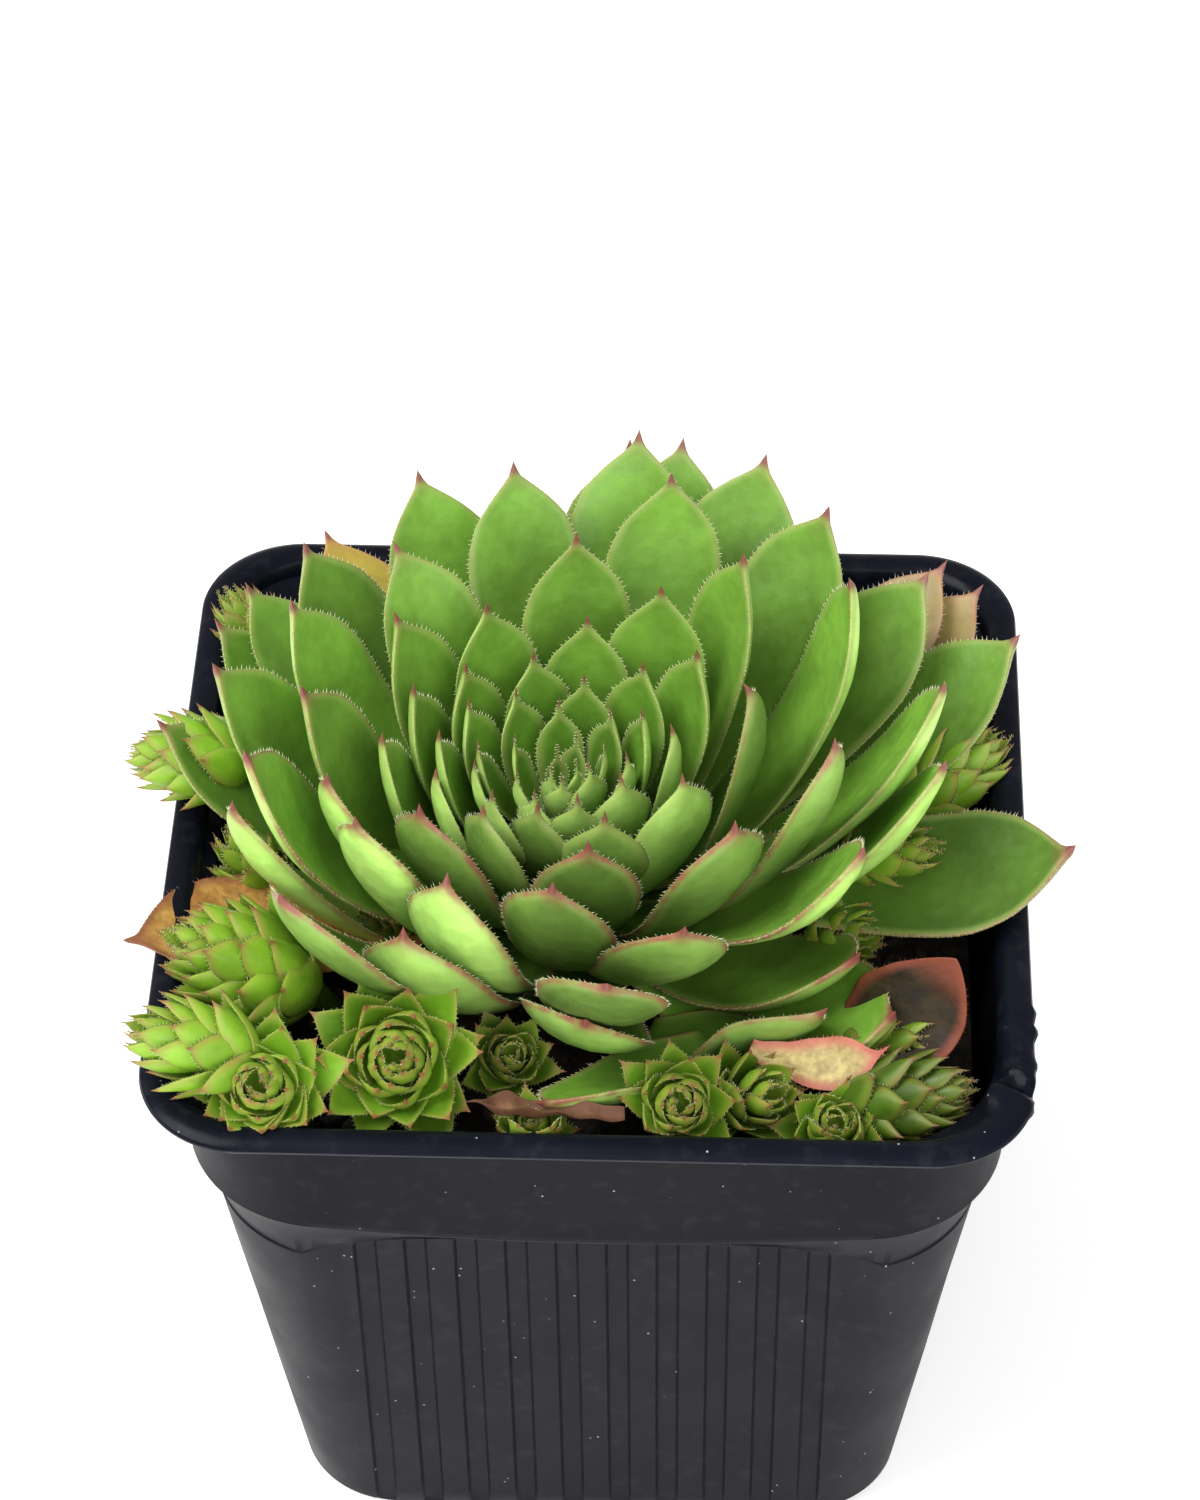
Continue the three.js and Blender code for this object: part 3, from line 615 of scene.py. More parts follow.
@dataclass
class Leaf:
    """One leaf: where it grows from, where its tip is, and how its blade is bent.

    curl is how many degrees flatter than the line to the tip the leaf starts, and how many steeper it
    ends. twist turns the blade about its midrib. The thickness and cup are shares of the width, and
    spine is the length of the sharp point. A taper above 1 makes the shoulders behind it longer.
    """

    root: np.ndarray
    tip: np.ndarray
    width: float
    curl: tuple[float, float] = (20, 20)
    twist: float = 0
    cup: float = 0.1
    thickness: float = 0.17
    spine: float = 2.0
    taper: float = 1.0
    base_share: float = 0.36
    axis: np.ndarray = field(default_factory=lambda: UP)
    marks: tuple[float, float, float] = (0.5, 0.5, 0.5)
    seed: int = 0
    rings: int = 26
    around: int = 20
    hair: float = 0.6
    hair_gap: float = 0.55
    hair_thickness: float = 0.065
    crumple: float = 0

    def outline(self, to_tip: np.ndarray) -> np.ndarray:
        """Gives the half width.

        Args:
            to_tip: Distances from the tip in millimetres.

        Returns:
            The half width at each.
        """
        spine = self.spine / self.width
        shoulders = ((0.05, 0.25), (0.18, 0.53), (0.39, 0.84), (0.71, 1), (1.04, 0.97))
        foot = max(spine + 1.15 * self.taper, self.length / self.width)
        knots = (
            (0, 0),
            (0.45 * spine, 0.05),
            (0.8 * spine, 0.09),
            *((spine + self.taper * behind, half) for behind, half in shoulders),
            (foot, self.base_share),
        )
        return smooth_curve(knots, to_tip / self.width) * self.width / 2

    @property
    def length(self) -> float:
        """The straight distance from root to tip."""
        return float(np.linalg.norm(self.tip - self.root))

    def midrib(self, shares: np.ndarray) -> tuple[np.ndarray, np.ndarray, np.ndarray, np.ndarray]:
        """Follows the midrib.

        Args:
            shares: Where to read it, from 0 at the root to 1 at the tip.

        Returns:
            For each share: the place, the way on, the way to the left margin, and the way that the
            upper face looks.
        """
        line = self.tip - self.root
        rise = float(line @ self.axis)
        outwards = unit(line - rise * self.axis)
        slope = math.atan2(rise, float(line @ outwards))
        start, end = slope - math.radians(self.curl[0]), slope + math.radians(self.curl[1])

        def heading(angle: float) -> np.ndarray:
            """Returns a third of the length, at that slope."""
            return (math.cos(angle) * outwards + math.sin(angle) * self.axis) * self.length / 3

        s = shares[:, None]
        p0, p3 = self.root, self.tip
        p1, p2 = p0 + heading(start), p3 - heading(end)
        place = (1 - s) ** 3 * p0 + 3 * s * (1 - s) ** 2 * p1 + 3 * s * s * (1 - s) * p2 + s**3 * p3
        way = unit((1 - s) ** 2 * (p1 - p0) + 2 * s * (1 - s) * (p2 - p1) + s * s * (p3 - p2))
        across = np.cross(self.axis, outwards)
        face = np.cross(way, across)
        turn = np.radians(self.twist) * ease(s, 0.1, 0.7)
        left = np.cos(turn) * across + np.sin(turn) * face
        return place, way, left, np.cos(turn) * face - np.sin(turn) * across

    def lift(self, half: np.ndarray, u: np.ndarray) -> np.ndarray:
        """Gives how far the blade's middle layer rises above the midrib at share u of the half width."""
        return self.cup * 2 * half * u * u

    def blade(self, patchwork: Patchwork) -> None:
        """Adds the leaf's body to a patchwork."""
        shares = 1 - (1 - np.linspace(0.02, 1, self.rings)) ** 1.6
        place, _, left, face = self.midrib(shares)
        to_tip = (1 - shares) * self.length
        half = np.maximum(self.outline(to_tip), 0.02)
        thick = self.thickness * self.width * np.minimum(1, 0.3 + 0.85 * to_tip / self.width)
        thick = np.minimum(thick * (1 - 0.3 * (1 - shares) ** 2), 1.8 * half)
        angle = 2 * np.pi * np.arange(self.around) / self.around
        u = np.sign(np.cos(angle)) * np.abs(np.cos(angle)) ** 0.85
        skin = np.where(np.sin(angle) > 0, 0.34, -0.66) * np.abs(np.sin(angle)) ** 1.25
        height = self.lift(half[:, None], u) + skin * thick[:, None]
        if self.crumple:
            height = height + self.crumple * self.wrinkles(to_tip[:, None], u * half[:, None])
        rings = (
            place[:, None]
            + left[:, None] * (u * half[:, None])[..., None]
            + face[:, None] * height[..., None]
        )
        below = np.broadcast_to(ease(-np.sin(angle), -0.25, 0.25), height.shape)
        margin = half[:, None] * (1 - np.abs(u)) + 0.001
        blade = np.stack([margin, np.broadcast_to(to_tip[:, None], height.shape), below], axis=-1)
        patchwork.add_tube(rings, blade, self.marks)

    def wrinkles(self, to_tip: np.ndarray, aside: np.ndarray) -> np.ndarray:
        """Gives the height of a dry leaf's wrinkles, about 1 mm at most, at places on its blade."""
        shift = self.seed * 1.7
        waves = np.sin(0.9 * aside + 0.5 * to_tip + shift)
        waves = waves + 0.6 * np.sin(1.7 * to_tip - 0.8 * aside - shift)
        return waves * ease(to_tip, 0, 0.4 * self.width) / 1.6

    def hairs(self, patchwork: Patchwork) -> None:
        """Adds the row of short hairs along both margins, each a tiny closed spike."""
        rng = np.random.default_rng(1000 + self.seed)
        reach = min(0.72 * self.length, 2.6 * self.width)
        count = int(reach / self.hair_gap)
        if count < 2 or self.hair <= 0:
            return
        for side in (-1.0, 1.0):
            to_tip = np.linspace(0.16 * self.width, reach, count) + rng.uniform(-0.15, 0.15, count)
            place, way, left, face = self.midrib(1 - to_tip / self.length)
            half = self.outline(to_tip)
            aside = (half * side)[:, None]
            foot = place + left * aside * 0.97 + face * self.lift(half, np.ones(count))[:, None]
            wide = self.outline(to_tip + 0.3) - self.outline(to_tip - 0.3)
            along = unit(left * side + way * (wide / 0.6)[:, None] * 0.9)
            jitter = rng.normal(0, 0.16, (count, 3))
            heading = unit(along + way * 0.25 + face * 0.25 + jitter)
            size = self.hair * rng.uniform(0.6, 1.15, count) * ease(to_tip, 0, 0.25 * self.width)
            end = foot + heading * np.maximum(size, 0.15)[:, None]
            thick = self.hair_thickness
            corners = [
                foot + thick * way,
                foot - thick * way * 0.5 + thick * face,
                foot - thick * way * 0.5 - thick * face,
                end,
            ]
            points = np.stack(corners, axis=1).reshape(-1, 3)
            faces = np.array([[0, 1, 3], [1, 2, 3], [2, 0, 3], [2, 1, 0]])
            if side < 0:
                faces = faces[:, ::-1]
            faces = (faces[None] + 4 * np.arange(count)[:, None, None]).reshape(-1, 3)
            patchwork.add(points, faces, (-1, 9, 0), self.marks)

    def add_to(self, patchwork: Patchwork) -> None:
        """Adds the whole leaf."""
        self.blade(patchwork)
        self.hairs(patchwork)


@dataclass
class MotherRosette:
    """The hen: a stem and spiral of leaves, and the oldest leaves that lie where the chicks let them."""

    stem_foot: tuple[float, float, float] = (-3.6, -0.5, 62.6)
    stem_lean: float = -1.8
    stem_height: float = 21.9
    first_free: int = 51
    last_spiral: int = 63

    # The spiral. First angle, reach, rise, centre and lean are rounded results of a least-squares fit.
    first_angle: float = 108.3
    reach: Knots = ((0, 1.3), (8, 6.1), (18, 9.4), (30, 13.7), (45, 25.2), (63, 40.4))
    rise: Knots = ((0, 12.9), (8, 14.6), (18, 16.1), (30, 18.5), (45, 22.6), (63, 20.1))
    centre_x: Knots = ((0, -3.8), (18, -5), (36, -5), (63, -0.7))
    width: Knots = ((0, 2.4), (8, 5), (16, 7), (29, 9.6), (42, 12), (55, 12.8), (63, 13.5))
    base_height: Knots = ((0, 4), (20, -1), (45, -7), (63, -9), (86, -9.8))
    base_reach: Knots = ((0, 0.3), (20, 2.5), (38, 4.5))
    flatter: Knots = ((0, 20), (12, 45), (46, 50), (52, 38), (60, 32), (86, 28))
    steeper: Knots = ((0, 15), (12, 30), (30, 32), (86, 26))
    lean: tuple[float, float] = (0.7, 2.2)

    # The leaves from whose number on the whole lean counts, a leaf is full grown and sun reddens it, and
    # below which a blade has the coarser of two meshes: rings along it and points round it.
    fully_carried: int = 60
    grown_from: int = 45
    sunned_from: int = 38
    small_below: int = 20
    small_mesh: tuple[int, int] = (22, 16)
    full_mesh: tuple[int, int] = (30, 22)

    # Where the stem's outline goes: height above the lip, and radius.
    stem_profile: Knots = (
        (-16.5, 3.4), (-10.4, 3.5), (-9, 6.2), (-4, 6.6), (0, 5.6), (4, 3.4), (7, 0.8),
    )  # fmt: skip

    # Degrees that every blade is turned about its midrib, and how many more at the back.
    turned: tuple[float, float] = (-5, 14)

    # Where leaves stand off the spiral: degrees turned, then millimetres further out, and higher. All
    # but leaf 51's are rounded results of that fit or of later ones.
    pushed: dict[int, tuple[float, float, float]] = field(
        default_factory=lambda: {
            2: (56, -0.6, 0), 5: (21, 0.4, 0), 9: (11, -2, 0), 10: (10, 1.1, 0), 22: (-4, -0.8, 0),
            24: (-7, 1, 0), 25: (-4, -1, 0), 26: (6, -0.6, 0), 28: (-5, 0.3, 0), 29: (-5, 0.9, 0),
            30: (-8, 1, 0), 32: (1, 2, 0), 33: (-5, -1.6, 0), 34: (3, -1, 0), 35: (-10, -0.6, 0),
            36: (-3, -1, 0), 37: (-5, 0.4, 0), 40: (-4, -2, 0), 41: (-1, -2, 0),
            42: (-6, -0.6, 0), 43: (0, 2, 0), 44: (7, 2, 2), 45: (5, 1, 0), 46: (7, 0.5, 0),
            47: (7, 1, 0), 48: (-6, 1, 2), 49: (-4, -2, 0), 50: (0, 3.7, 0), 51: (-3, 2, -2),
            52: (-1, 1.4, 0), 53: (3, -1.5, 4), 54: (1, -6, 0), 55: (-2, 1.3, 0), 56: (-3, 1, 0),
            57: (9, 0, 4), 58: (-5, 1.5, 0), 59: (0, 3, 2), 60: (6, 0, 0), 61: (4, -2, 0),
            62: (4, 3, 5), 63: (-1, 0, 0),
        }
    )  # fmt: skip

    # The oldest leaves, in the order of their numbers: degrees round, reach, tip height, width. The last
    # one is a younger leaf that came in beside the spiral, and it is one piece with the heart. The places
    # were worked out from marked points at guessed heights, or by fits, and rounded. Some were then
    # changed.
    skirt: tuple[tuple[float, float, float, float], ...] = (
        (325, 37, 6, 14), (316, 37.7, 3, 12), (322, 43, 3, 17), (352, 53, 8, 16.5),
        (353.5, 39, 17, 13.5), (23, 51.5, 12, 15), (38, 56, 6, 11), (42, 54, 8, 11),
        (35, 46, 15, 14.5), (63, 44.3, 20, 14), (76, 45.6, 18, 14), (83, 43, 19, 14),
        (115, 42, 18, 14), (124, 51.5, 5, 13), (143, 45, 11, 11), (149, 45.6, 9, 11),
        (174, 43.5, 12, 12), (198.5, 35.5, 16, 12), (241, 31.5, 15, 13), (275, 35, 10, 14),
        (267, 38, 1, 11), (172.7, 37.2, 20, 13.5), (222.4, 27.7, 21.5, 12),
    )  # fmt: skip

    # Leaves with a bend of their own: degrees flatter, degrees steeper, degrees of twist. All began as
    # rounded results of outline fits. 40, 41, 48, 49, 54, 62, 64 to 67, 81, 82 and 84 were then
    # changed.
    bent: dict[int, tuple[float, float, float]] = field(
        default_factory=lambda: {
            37: (50, 35, 20), 38: (55, 30, -8), 39: (45, 15, 3), 40: (80, 55, -18),
            41: (50, 30, 5), 43: (48, 36, -10), 44: (60, 20, -15), 45: (58, 30, -18),
            47: (36, 0, -3), 48: (60, 40, -10), 49: (35, 40, 8), 50: (38, 40, 21),
            53: (75, 50, -10), 54: (80, 60, -5), 56: (20, 35, 4), 57: (50, 30, -15),
            59: (50, 20, -15), 61: (45, 40, -15), 62: (60, 30, -3), 64: (45, 40, -5),
            65: (35, 25, -45), 66: (30, 50, 14), 67: (-20, 35, 8), 68: (60, 40, -15),
            81: (75, 50, 22), 82: (70, 55, 10), 83: (50, 30, -20), 84: (20, 20, 32),
            85: (40, 24, -5), 86: (50, 30, 8),
        }
    )  # fmt: skip

    # Where the feet of leaves are that broke off and stand among the chicks, from the lip's centre.
    loose_feet: dict[int, tuple[float, float, float]] = field(
        default_factory=lambda: {65: (5, -20, -9), 84: (13, -23, -6.5)}
    )

    # How light a leaf is, from about 0 to 1, where that isn't left to chance: partly the leaf's own tone
    # and partly painted light and shade for how brightly it is lit.
    painted_light_and_tone: dict[int, float] = field(
        default_factory=lambda: {
            25: 0.2, 30: 0.25, 33: 0.25, 38: 0.05, 40: 0.3, 41: 0.3, 43: 0.3, 46: 0.2, 48: 0.45,
            49: 0.8, 51: 0.35, 52: 0.95, 53: 1.05, 54: 0.65, 56: 0.7, 57: 1.0, 58: 0.45,
            59: 0.1, 61: 1.0, 62: 0.35, 64: 0.4, 65: 0.4, 66: 1.0, 67: 0.1, 68: 1.0, 69: 0.4,
            81: 0.8, 82: 0.5, 83: 0.5, 84: 0.6, 86: 0.78,
        }
    )  # fmt: skip

    # The old leaves that have lost their green.
    kinds: dict[int, LeafKind] = field(
        default_factory=lambda: {
            70: LeafKind.REDDENED,
            71: LeafKind.REDDENED,
            77: LeafKind.YELLOWED,
        }
    )

    def stem_point(self, height: float) -> np.ndarray:
        """Finds the middle of the stem.

        Args:
            height: The height above the pot's lip.

        Returns:
            The place on the stem's axis.
        """
        foot = np.array(self.stem_foot)
        climbed = LIP_CENTRE[2] + height - foot[2]
        return foot + np.array([self.stem_lean * climbed / self.stem_height, 0, climbed])

    def tip_of(self, number: int) -> np.ndarray:
        """Finds where leaf number has its tip, in the part's frame."""
        if number > self.last_spiral:
            degrees, reach, height, _ = self.skirt[number - self.last_spiral - 1]
            angle = math.radians(degrees)
            middle = self.stem_foot[0] - LIP_CENTRE[0]
        else:
            turned, outwards, lifted = self.pushed.get(number, (0, 0, 0))
            angle = math.radians(self.first_angle - GOLDEN_ANGLE * number + turned)
            reach = straight_curve(self.reach, number) + outwards
            right, back = self.lean
            leaning = (right * math.cos(angle) + back * math.sin(angle)) * number / self.fully_carried
            height = straight_curve(self.rise, number) + leaning + lifted
            middle = straight_curve(self.centre_x, number)
        aside = np.array([math.cos(angle), math.sin(angle), 0]) * reach
        return LIP_CENTRE + aside + np.array([middle, self.stem_foot[1], height])

    def leaf(self, number: int) -> Leaf:
        """Shapes one leaf.

        Args:
            number: Its number, counted from the youngest.

        Returns:
            The leaf in place.
        """
        rng = np.random.default_rng(number)
        width = straight_curve(self.width, number)
        if number > self.last_spiral:
            width = self.skirt[number - self.last_spiral - 1][3]
        tip = self.tip_of(number)
        if number in self.loose_feet:
            root = LIP_CENTRE + np.array(self.loose_feet[number])
        else:
            root = self.stem_point(straight_curve(self.base_height, number))
        outwards = unit((tip - root) * np.array([1, 1, 0]))
        if number not in self.loose_feet:
            root = root + outwards * straight_curve(self.base_reach, number)
        back = float(outwards[1])
        lawful = (
            straight_curve(self.flatter, number),
            straight_curve(self.steeper, number),
            self.turned[0] + self.turned[1] * back,
        )
        flatter, steeper, twist = self.bent.get(number, lawful)
        age = min(1.0, number / self.grown_from)
        sunned = float(ease(np.array(-back), -0.3, 0.5))
        rings, around = self.small_mesh if number < self.small_below else self.full_mesh
        return Leaf(
            root=root,
            tip=tip,
            width=width,
            curl=(flatter, steeper),
            twist=twist + rng.uniform(-3, 3),
            cup=0.1,
            spine=2.7 - 0.7 * age,
            marks=(
                self.painted_light_and_tone.get(number, rng.uniform(0.4, 0.75)),
                age,
                0.1 if number < self.sunned_from else 0.25 + 0.6 * sunned,
            ),
            seed=number,
            rings=rings,
            around=around,
            hair=0.34 + 0.26 * age,
            hair_gap=0.4 + 0.1 * age,
        )

    def stem(self, patchwork: Patchwork) -> None:
        """Adds the short stem, which is a leaning turned post."""
        circle = flat_circle(20)
        rings = [self.stem_point(height) + radius * circle for height, radius in self.stem_profile]
        rings = np.stack(rings)
        patchwork.add_tube(rings, np.array([3.0, 9.0, 1.0]), (0.2, 0.6, 0.2))

    def build(self, finishes: dict[Enum, bpy.types.Material]) -> None:
        """Builds the heart as one piece and every outer leaf as a piece of its own.

        Args:
            finishes: The leaf materials by kind.
        """
        heart = Patchwork()
        self.stem(heart)
        last = self.last_spiral + len(self.skirt)
        for number in (*range(self.first_free), last):
            self.leaf(number).add_to(heart)
        settle(heart.piece("mother_heart", finishes[LeafKind.MOTHER]), "leaf", "hen_heart")
        for number in range(self.first_free, last):
            patchwork = Patchwork()
            self.leaf(number).add_to(patchwork)
            kind = self.kinds.get(number, LeafKind.MOTHER)
            piece = patchwork.piece(f"mother_leaf_{number}", finishes[kind])
            settle(piece, "leaf", f"hen_leaf_{number}")


# ----------------------------------------------------------------------------------------------------
# Chicks


@dataclass
class Chick:
    """A young rosette on its runner: a closed bud where open is 0, a spread rosette where it is 1.

    The inner leaves wrap a bud, and the outer ones stand away from it.
    """

    name: str
    at: tuple[float, float, float]
    points: tuple[float, float]
    diameter: float
    length: float
    open: float
    leaves: int = 30
    seed: int = 0
    # How light the chick's leaves are, from 0 to 1: partly their own tone and partly painted shade for
    # chicks that sit in shade, such as chick_front_shaded and the right-hand ones.
    light: float = 0.7

    # From the youngest leaf out: tip's reach and height, root's height, and width, in a closed bud.
    closed_reach: Knots = ((0, 0.08), (0.25, 0.35), (0.5, 0.68), (0.8, 1.0), (1, 1.12))
    closed_top: Knots = ((0, 1.0), (0.25, 0.96), (0.5, 0.84), (0.8, 0.56), (1, 0.3))
    closed_root: Knots = ((0, 0.5), (0.5, 0.12), (1, -0.12))
    closed_width: Knots = ((0, 0.12), (0.3, 0.24), (0.6, 0.36), (1, 0.42))

    # The same in a spread rosette.
    open_reach: Knots = ((0, 0.05), (0.25, 0.22), (0.5, 0.5), (0.62, 0.88), (1, 1.3))
    open_top: Knots = ((0, 1.05), (0.25, 1.0), (0.5, 0.82), (0.62, 0.72), (1, 0.3))
    open_root: Knots = ((0, 0.45), (0.5, 0.1), (1, -0.05))
    open_width: Knots = ((0, 0.16), (0.25, 0.3), (0.5, 0.42), (1, 0.42))

    # The lip's inner edge, how far below the lip leaves start, and how far they climb over what run.
    lip_inner: float = 40.0
    lip_drop: float = 2.0
    lip_climb: float = 3.9
    lip_run: float = 2.0

    # The runner: the mother's stem, how far it reaches to it, the bed that it stays in, and its make.
    stem_place: tuple[float, float] = (-3.6, -0.5)
    runner_reach: float = 5
    bed_half: float = 35.5
    bed_top: float = 62.0
    runner_radii: tuple[float, float] = (1.3, 1.6)
    runner_rings: int = 9
    runner_around: int = 10

    # Degrees flatter at the root and steeper at the tip.
    closed_curl: tuple[Knots, Knots] = (((0, 30), (1, 48)), ((0, 25), (0.6, 16), (1, -6)))
    open_curl: tuple[Knots, Knots] = (
        ((0, 40), (0.5, 62), (0.62, 34), (1, 24)),
        ((0, 40), (0.5, 58), (0.62, 22), (1, 4)),
    )

    @property
    def heading(self) -> np.ndarray:
        """The way that the chick's tip points."""
        around, up = np.radians(self.points)
        level = math.cos(up)
        return np.array([math.cos(around) * level, math.sin(around) * level, math.sin(up)])

    @property
    def foot(self) -> np.ndarray:
        """The place where the chick's leaves begin, on its runner."""
        return LIP_CENTRE + np.array(self.at) - self.heading * self.length / 2

    def between(self, closed: Knots, spread: Knots, share: float) -> float:
        """Mixes a closed bud's curve with a spread rosette's at a leaf's share of the way out."""
        low, high = straight_curve(closed, share), straight_curve(spread, share)
        return low + (high - low) * self.open

    def over_lip(self, tip: np.ndarray) -> np.ndarray:
        """Returns a leaf's tip, lifted onto the pot's lip if it reaches that far out."""
        beyond = float(np.abs(tip[:2] - LIP_CENTRE[:2]).max()) - self.lip_inner
        climb = self.lip_climb * min(1.0, max(0.0, beyond / self.lip_run))
        height = LIP_CENTRE[2] - self.lip_drop + climb
        return np.array([tip[0], tip[1], max(tip[2], height)]) if beyond > 0 else tip

    def leaf(self, number: int) -> Leaf:
        """Shapes one leaf of the chick.

        Args:
            number: Its number, counted from the youngest.

        Returns:
            The leaf in place.
        """
        rng = np.random.default_rng(self.seed * 100 + number)
        axis = self.heading
        side = unit(np.cross(UP, axis))
        other = np.cross(axis, side)
        share = number / (self.leaves - 1)
        angle = math.radians(GOLDEN_ANGLE * number + 40 * self.seed + rng.uniform(-12, 12))
        outwards = math.cos(angle) * side + math.sin(angle) * other
        reach = self.diameter / 2 * self.between(self.closed_reach, self.open_reach, share)
        top = self.length * self.between(self.closed_top, self.open_top, share)
        root = self.length * self.between(self.closed_root, self.open_root, share)
        curls = zip(self.closed_curl, self.open_curl)
        curl = tuple(self.between(closed, spread, share) for closed, spread in curls)
        tip = self.foot + axis * top * rng.uniform(0.94, 1.04)
        tip = tip + outwards * reach * rng.uniform(0.9, 1.08)
        return Leaf(
            root=self.foot + axis * root,
            tip=self.over_lip(tip),
            width=self.diameter * self.between(self.closed_width, self.open_width, share),
            curl=curl,
            twist=rng.uniform(-14, 14),
            cup=0.2,
            thickness=0.2,
            spine=0.9,
            taper=1.25,
            base_share=0.5,
            axis=axis,
            marks=(self.light + rng.uniform(-0.18, 0.18), share, 0.15 + rng.uniform(0, 0.4)),
            seed=self.seed * 100 + number,
            rings=16,
            around=14,
            hair=0.42,
            hair_gap=0.34,
            hair_thickness=0.05,
        )

    def runner(self, patchwork: Patchwork) -> None:
        """Adds the rooted stalk that carries the chick."""
        bend = self.foot - self.heading * 2
        inwards = np.array(self.stem_place) - self.foot[:2]
        ground = self.foot[:2] + inwards / np.linalg.norm(inwards) * self.runner_reach
        ground = np.clip(ground - LIP_CENTRE[:2], -self.bed_half, self.bed_half) + LIP_CENTRE[:2]
        ground = np.append(ground, self.bed_top)
        s = np.linspace(0, 1, self.runner_rings)[:, None]
        path = (1 - s) ** 2 * ground + 2 * s * (1 - s) * bend + s * s * (self.foot + self.heading * 1.5)
        way = unit(np.gradient(path, axis=0))
        side = unit(np.cross(way, np.array([0.31, 0.95, 0.05])))
        other = np.cross(way, side)
        angle = 2 * np.pi * np.arange(self.runner_around) / self.runner_around
        radius = np.linspace(*self.runner_radii, self.runner_rings)[:, None, None]
        circle = np.cos(angle)[:, None] * side[:, None] + np.sin(angle)[:, None] * other[:, None]
        rings = path[:, None] + radius * circle
        patchwork.add_tube(rings, np.array([3.0, 9.0, 1.0]), (0.2, 0.5, 0.2))

    def build(self, finish: bpy.types.Material) -> None:
        """Builds the chick as one piece."""
        patchwork = Patchwork()
        self.runner(patchwork)
        for number in range(self.leaves):
            self.leaf(number).add_to(patchwork)
        settle(patchwork.piece(f"{self.name}_rosette", finish), "chick", self.name)


def brood() -> list[Chick]:
    """Lists the chicks, from the left rim round the front to the right."""
    return [
        # The last value of each is how light the chick is; the low ones are partly painted shade.
        Chick("chick_left_rim", (-44.3, 5.4, 4.8), (180, 8), 12, 12, 0, 36, 1, 0.95),
        Chick("chick_back_left", (-39, 31, 0), (150, 50), 10, 12, 0, 26, 2, 0.6),
        Chick("chick_left_small", (-36.8, -3.5, -1), (165, 60), 9, 10, 0, 22, 3, 0.95),
        Chick("chick_left_large", (-36.6, -21, 2.4), (190, 35), 15.5, 16, 0, 44, 4, 0.7),
        Chick("chick_left_corner", (-40.2, -35.4, 5.4), (178, 20), 11.5, 12.5, 0.1, 32, 5, 0.72),
        Chick("chick_front_left", (-32.2, -38.2, 2.4), (264, 50), 14, 9.5, 1, 36, 6, 0.75),
        Chick("chick_front_open", (-19.2, -33.5, 1.5), (272, 50), 16.5, 11, 1, 44, 7, 0.6),
        Chick("chick_front_shaded", (-8, -28, -4.0), (285, 60), 10, 8, 0.7, 24, 8, 0.3),
        Chick("chick_front_low", (-5.3, -38, -3), (268, 70), 9, 6.5, 0.7, 24, 9, 0.5),
        Chick("chick_front_middle", (9.4, -36.4, -0.8), (276, 50), 11.5, 9, 1, 28, 10, 0.6),
        Chick("chick_front_bud", (17.4, -33.2, -3.4), (315, 48), 11, 11, 0.2, 22, 11, 0.45),
        Chick("chick_front_right", (25, -37.4, -3), (272, 60), 10.5, 8, 0.9, 26, 12, 0.5),
        Chick("chick_right_corner", (33, -33.6, -2.6), (355, 22), 11.5, 13, 0, 34, 13, 0.1),
        Chick("chick_right_low", (31.5, -25, -4), (350, 22), 9, 10, 0, 24, 14, 0.35),
        Chick("chick_right_inner", (31.5, -2.5, 0), (350, 30), 9.5, 11, 0, 26, 15, 0.45),
        Chick("chick_right_outer", (38.4, 10.5, 0), (25, 32), 11, 13, 0, 32, 16, 0.55),
        Chick("chick_right_hidden", (26.4, -11, -2.5), (325, 40), 9.5, 9, 0, 22, 17, 0.8),
        Chick("chick_left_hidden", (-23, -9, -6), (210, 55), 8, 7.5, 0.5, 20, 18, 0.3),
    ]


# ----------------------------------------------------------------------------------------------------
# Withered leaves


@dataclass
class WitheredLeaf:
    """An old leaf that has dried where it lay."""

    name: str
    start: tuple[float, float, float]
    end: tuple[float, float, float]
    width: float
    bend: tuple[float, float, float]
    kind: DryKind
    cup: float
    crumple: float
    hair: float
    spine: float = 2.2

    def build(self, finish: bpy.types.Material, seed: int) -> None:
        """Builds the leaf as one piece.

        Args:
            finish: Its material.
            seed: What its wrinkles start from.
        """
        leaf = Leaf(
            root=LIP_CENTRE + np.array(self.start),
            tip=LIP_CENTRE + np.array(self.end),
            width=self.width,
            curl=self.bend[:2],
            twist=self.bend[2],
            cup=self.cup,
            thickness=0.09,
            spine=self.spine,
            seed=seed,
            crumple=self.crumple,
            hair=self.hair,
            rings=40,
            around=28,
        )
        patchwork = Patchwork()
        leaf.add_to(patchwork)
        settle(patchwork.piece(f"{self.name}_husk", finish), "withered", self.name)


def withered_leaves() -> list[WitheredLeaf]:
    """Lists the four withered leaves."""
    return [
        WitheredLeaf(
            "withered_leaf_left", (-8, 0, -8), (-48, -19.5, 3.2), 16, (12, 12, 0),
            DryKind.ORANGE, 0.1, 0.2, 0.45,
        ),
        WitheredLeaf(
            "withered_leaf_front", (4.5, -38.4, -0.8), (-12.3, -39, 1.6), 3.6, (12, 12, 30),
            DryKind.BROWN, 0.3, 0.5, 0,
        ),
        WitheredLeaf(
            "withered_leaf_right", (27, -26, -6), (37, -22, 5.6), 12, (12, 12, 45),
            DryKind.DUSKY, 0.1, 0.2, 0.45, 0.3,
        ),
        WitheredLeaf(
            "withered_leaf_corner", (16, -28.4, -1.2), (30.4, -30.6, 2), 5.6, (50, 50, 40),
            DryKind.STRAW, 0.12, 0.3, 0.4,
        ),
    ]  # fmt: skip


# ----------------------------------------------------------------------------------------------------
# Pot and soil


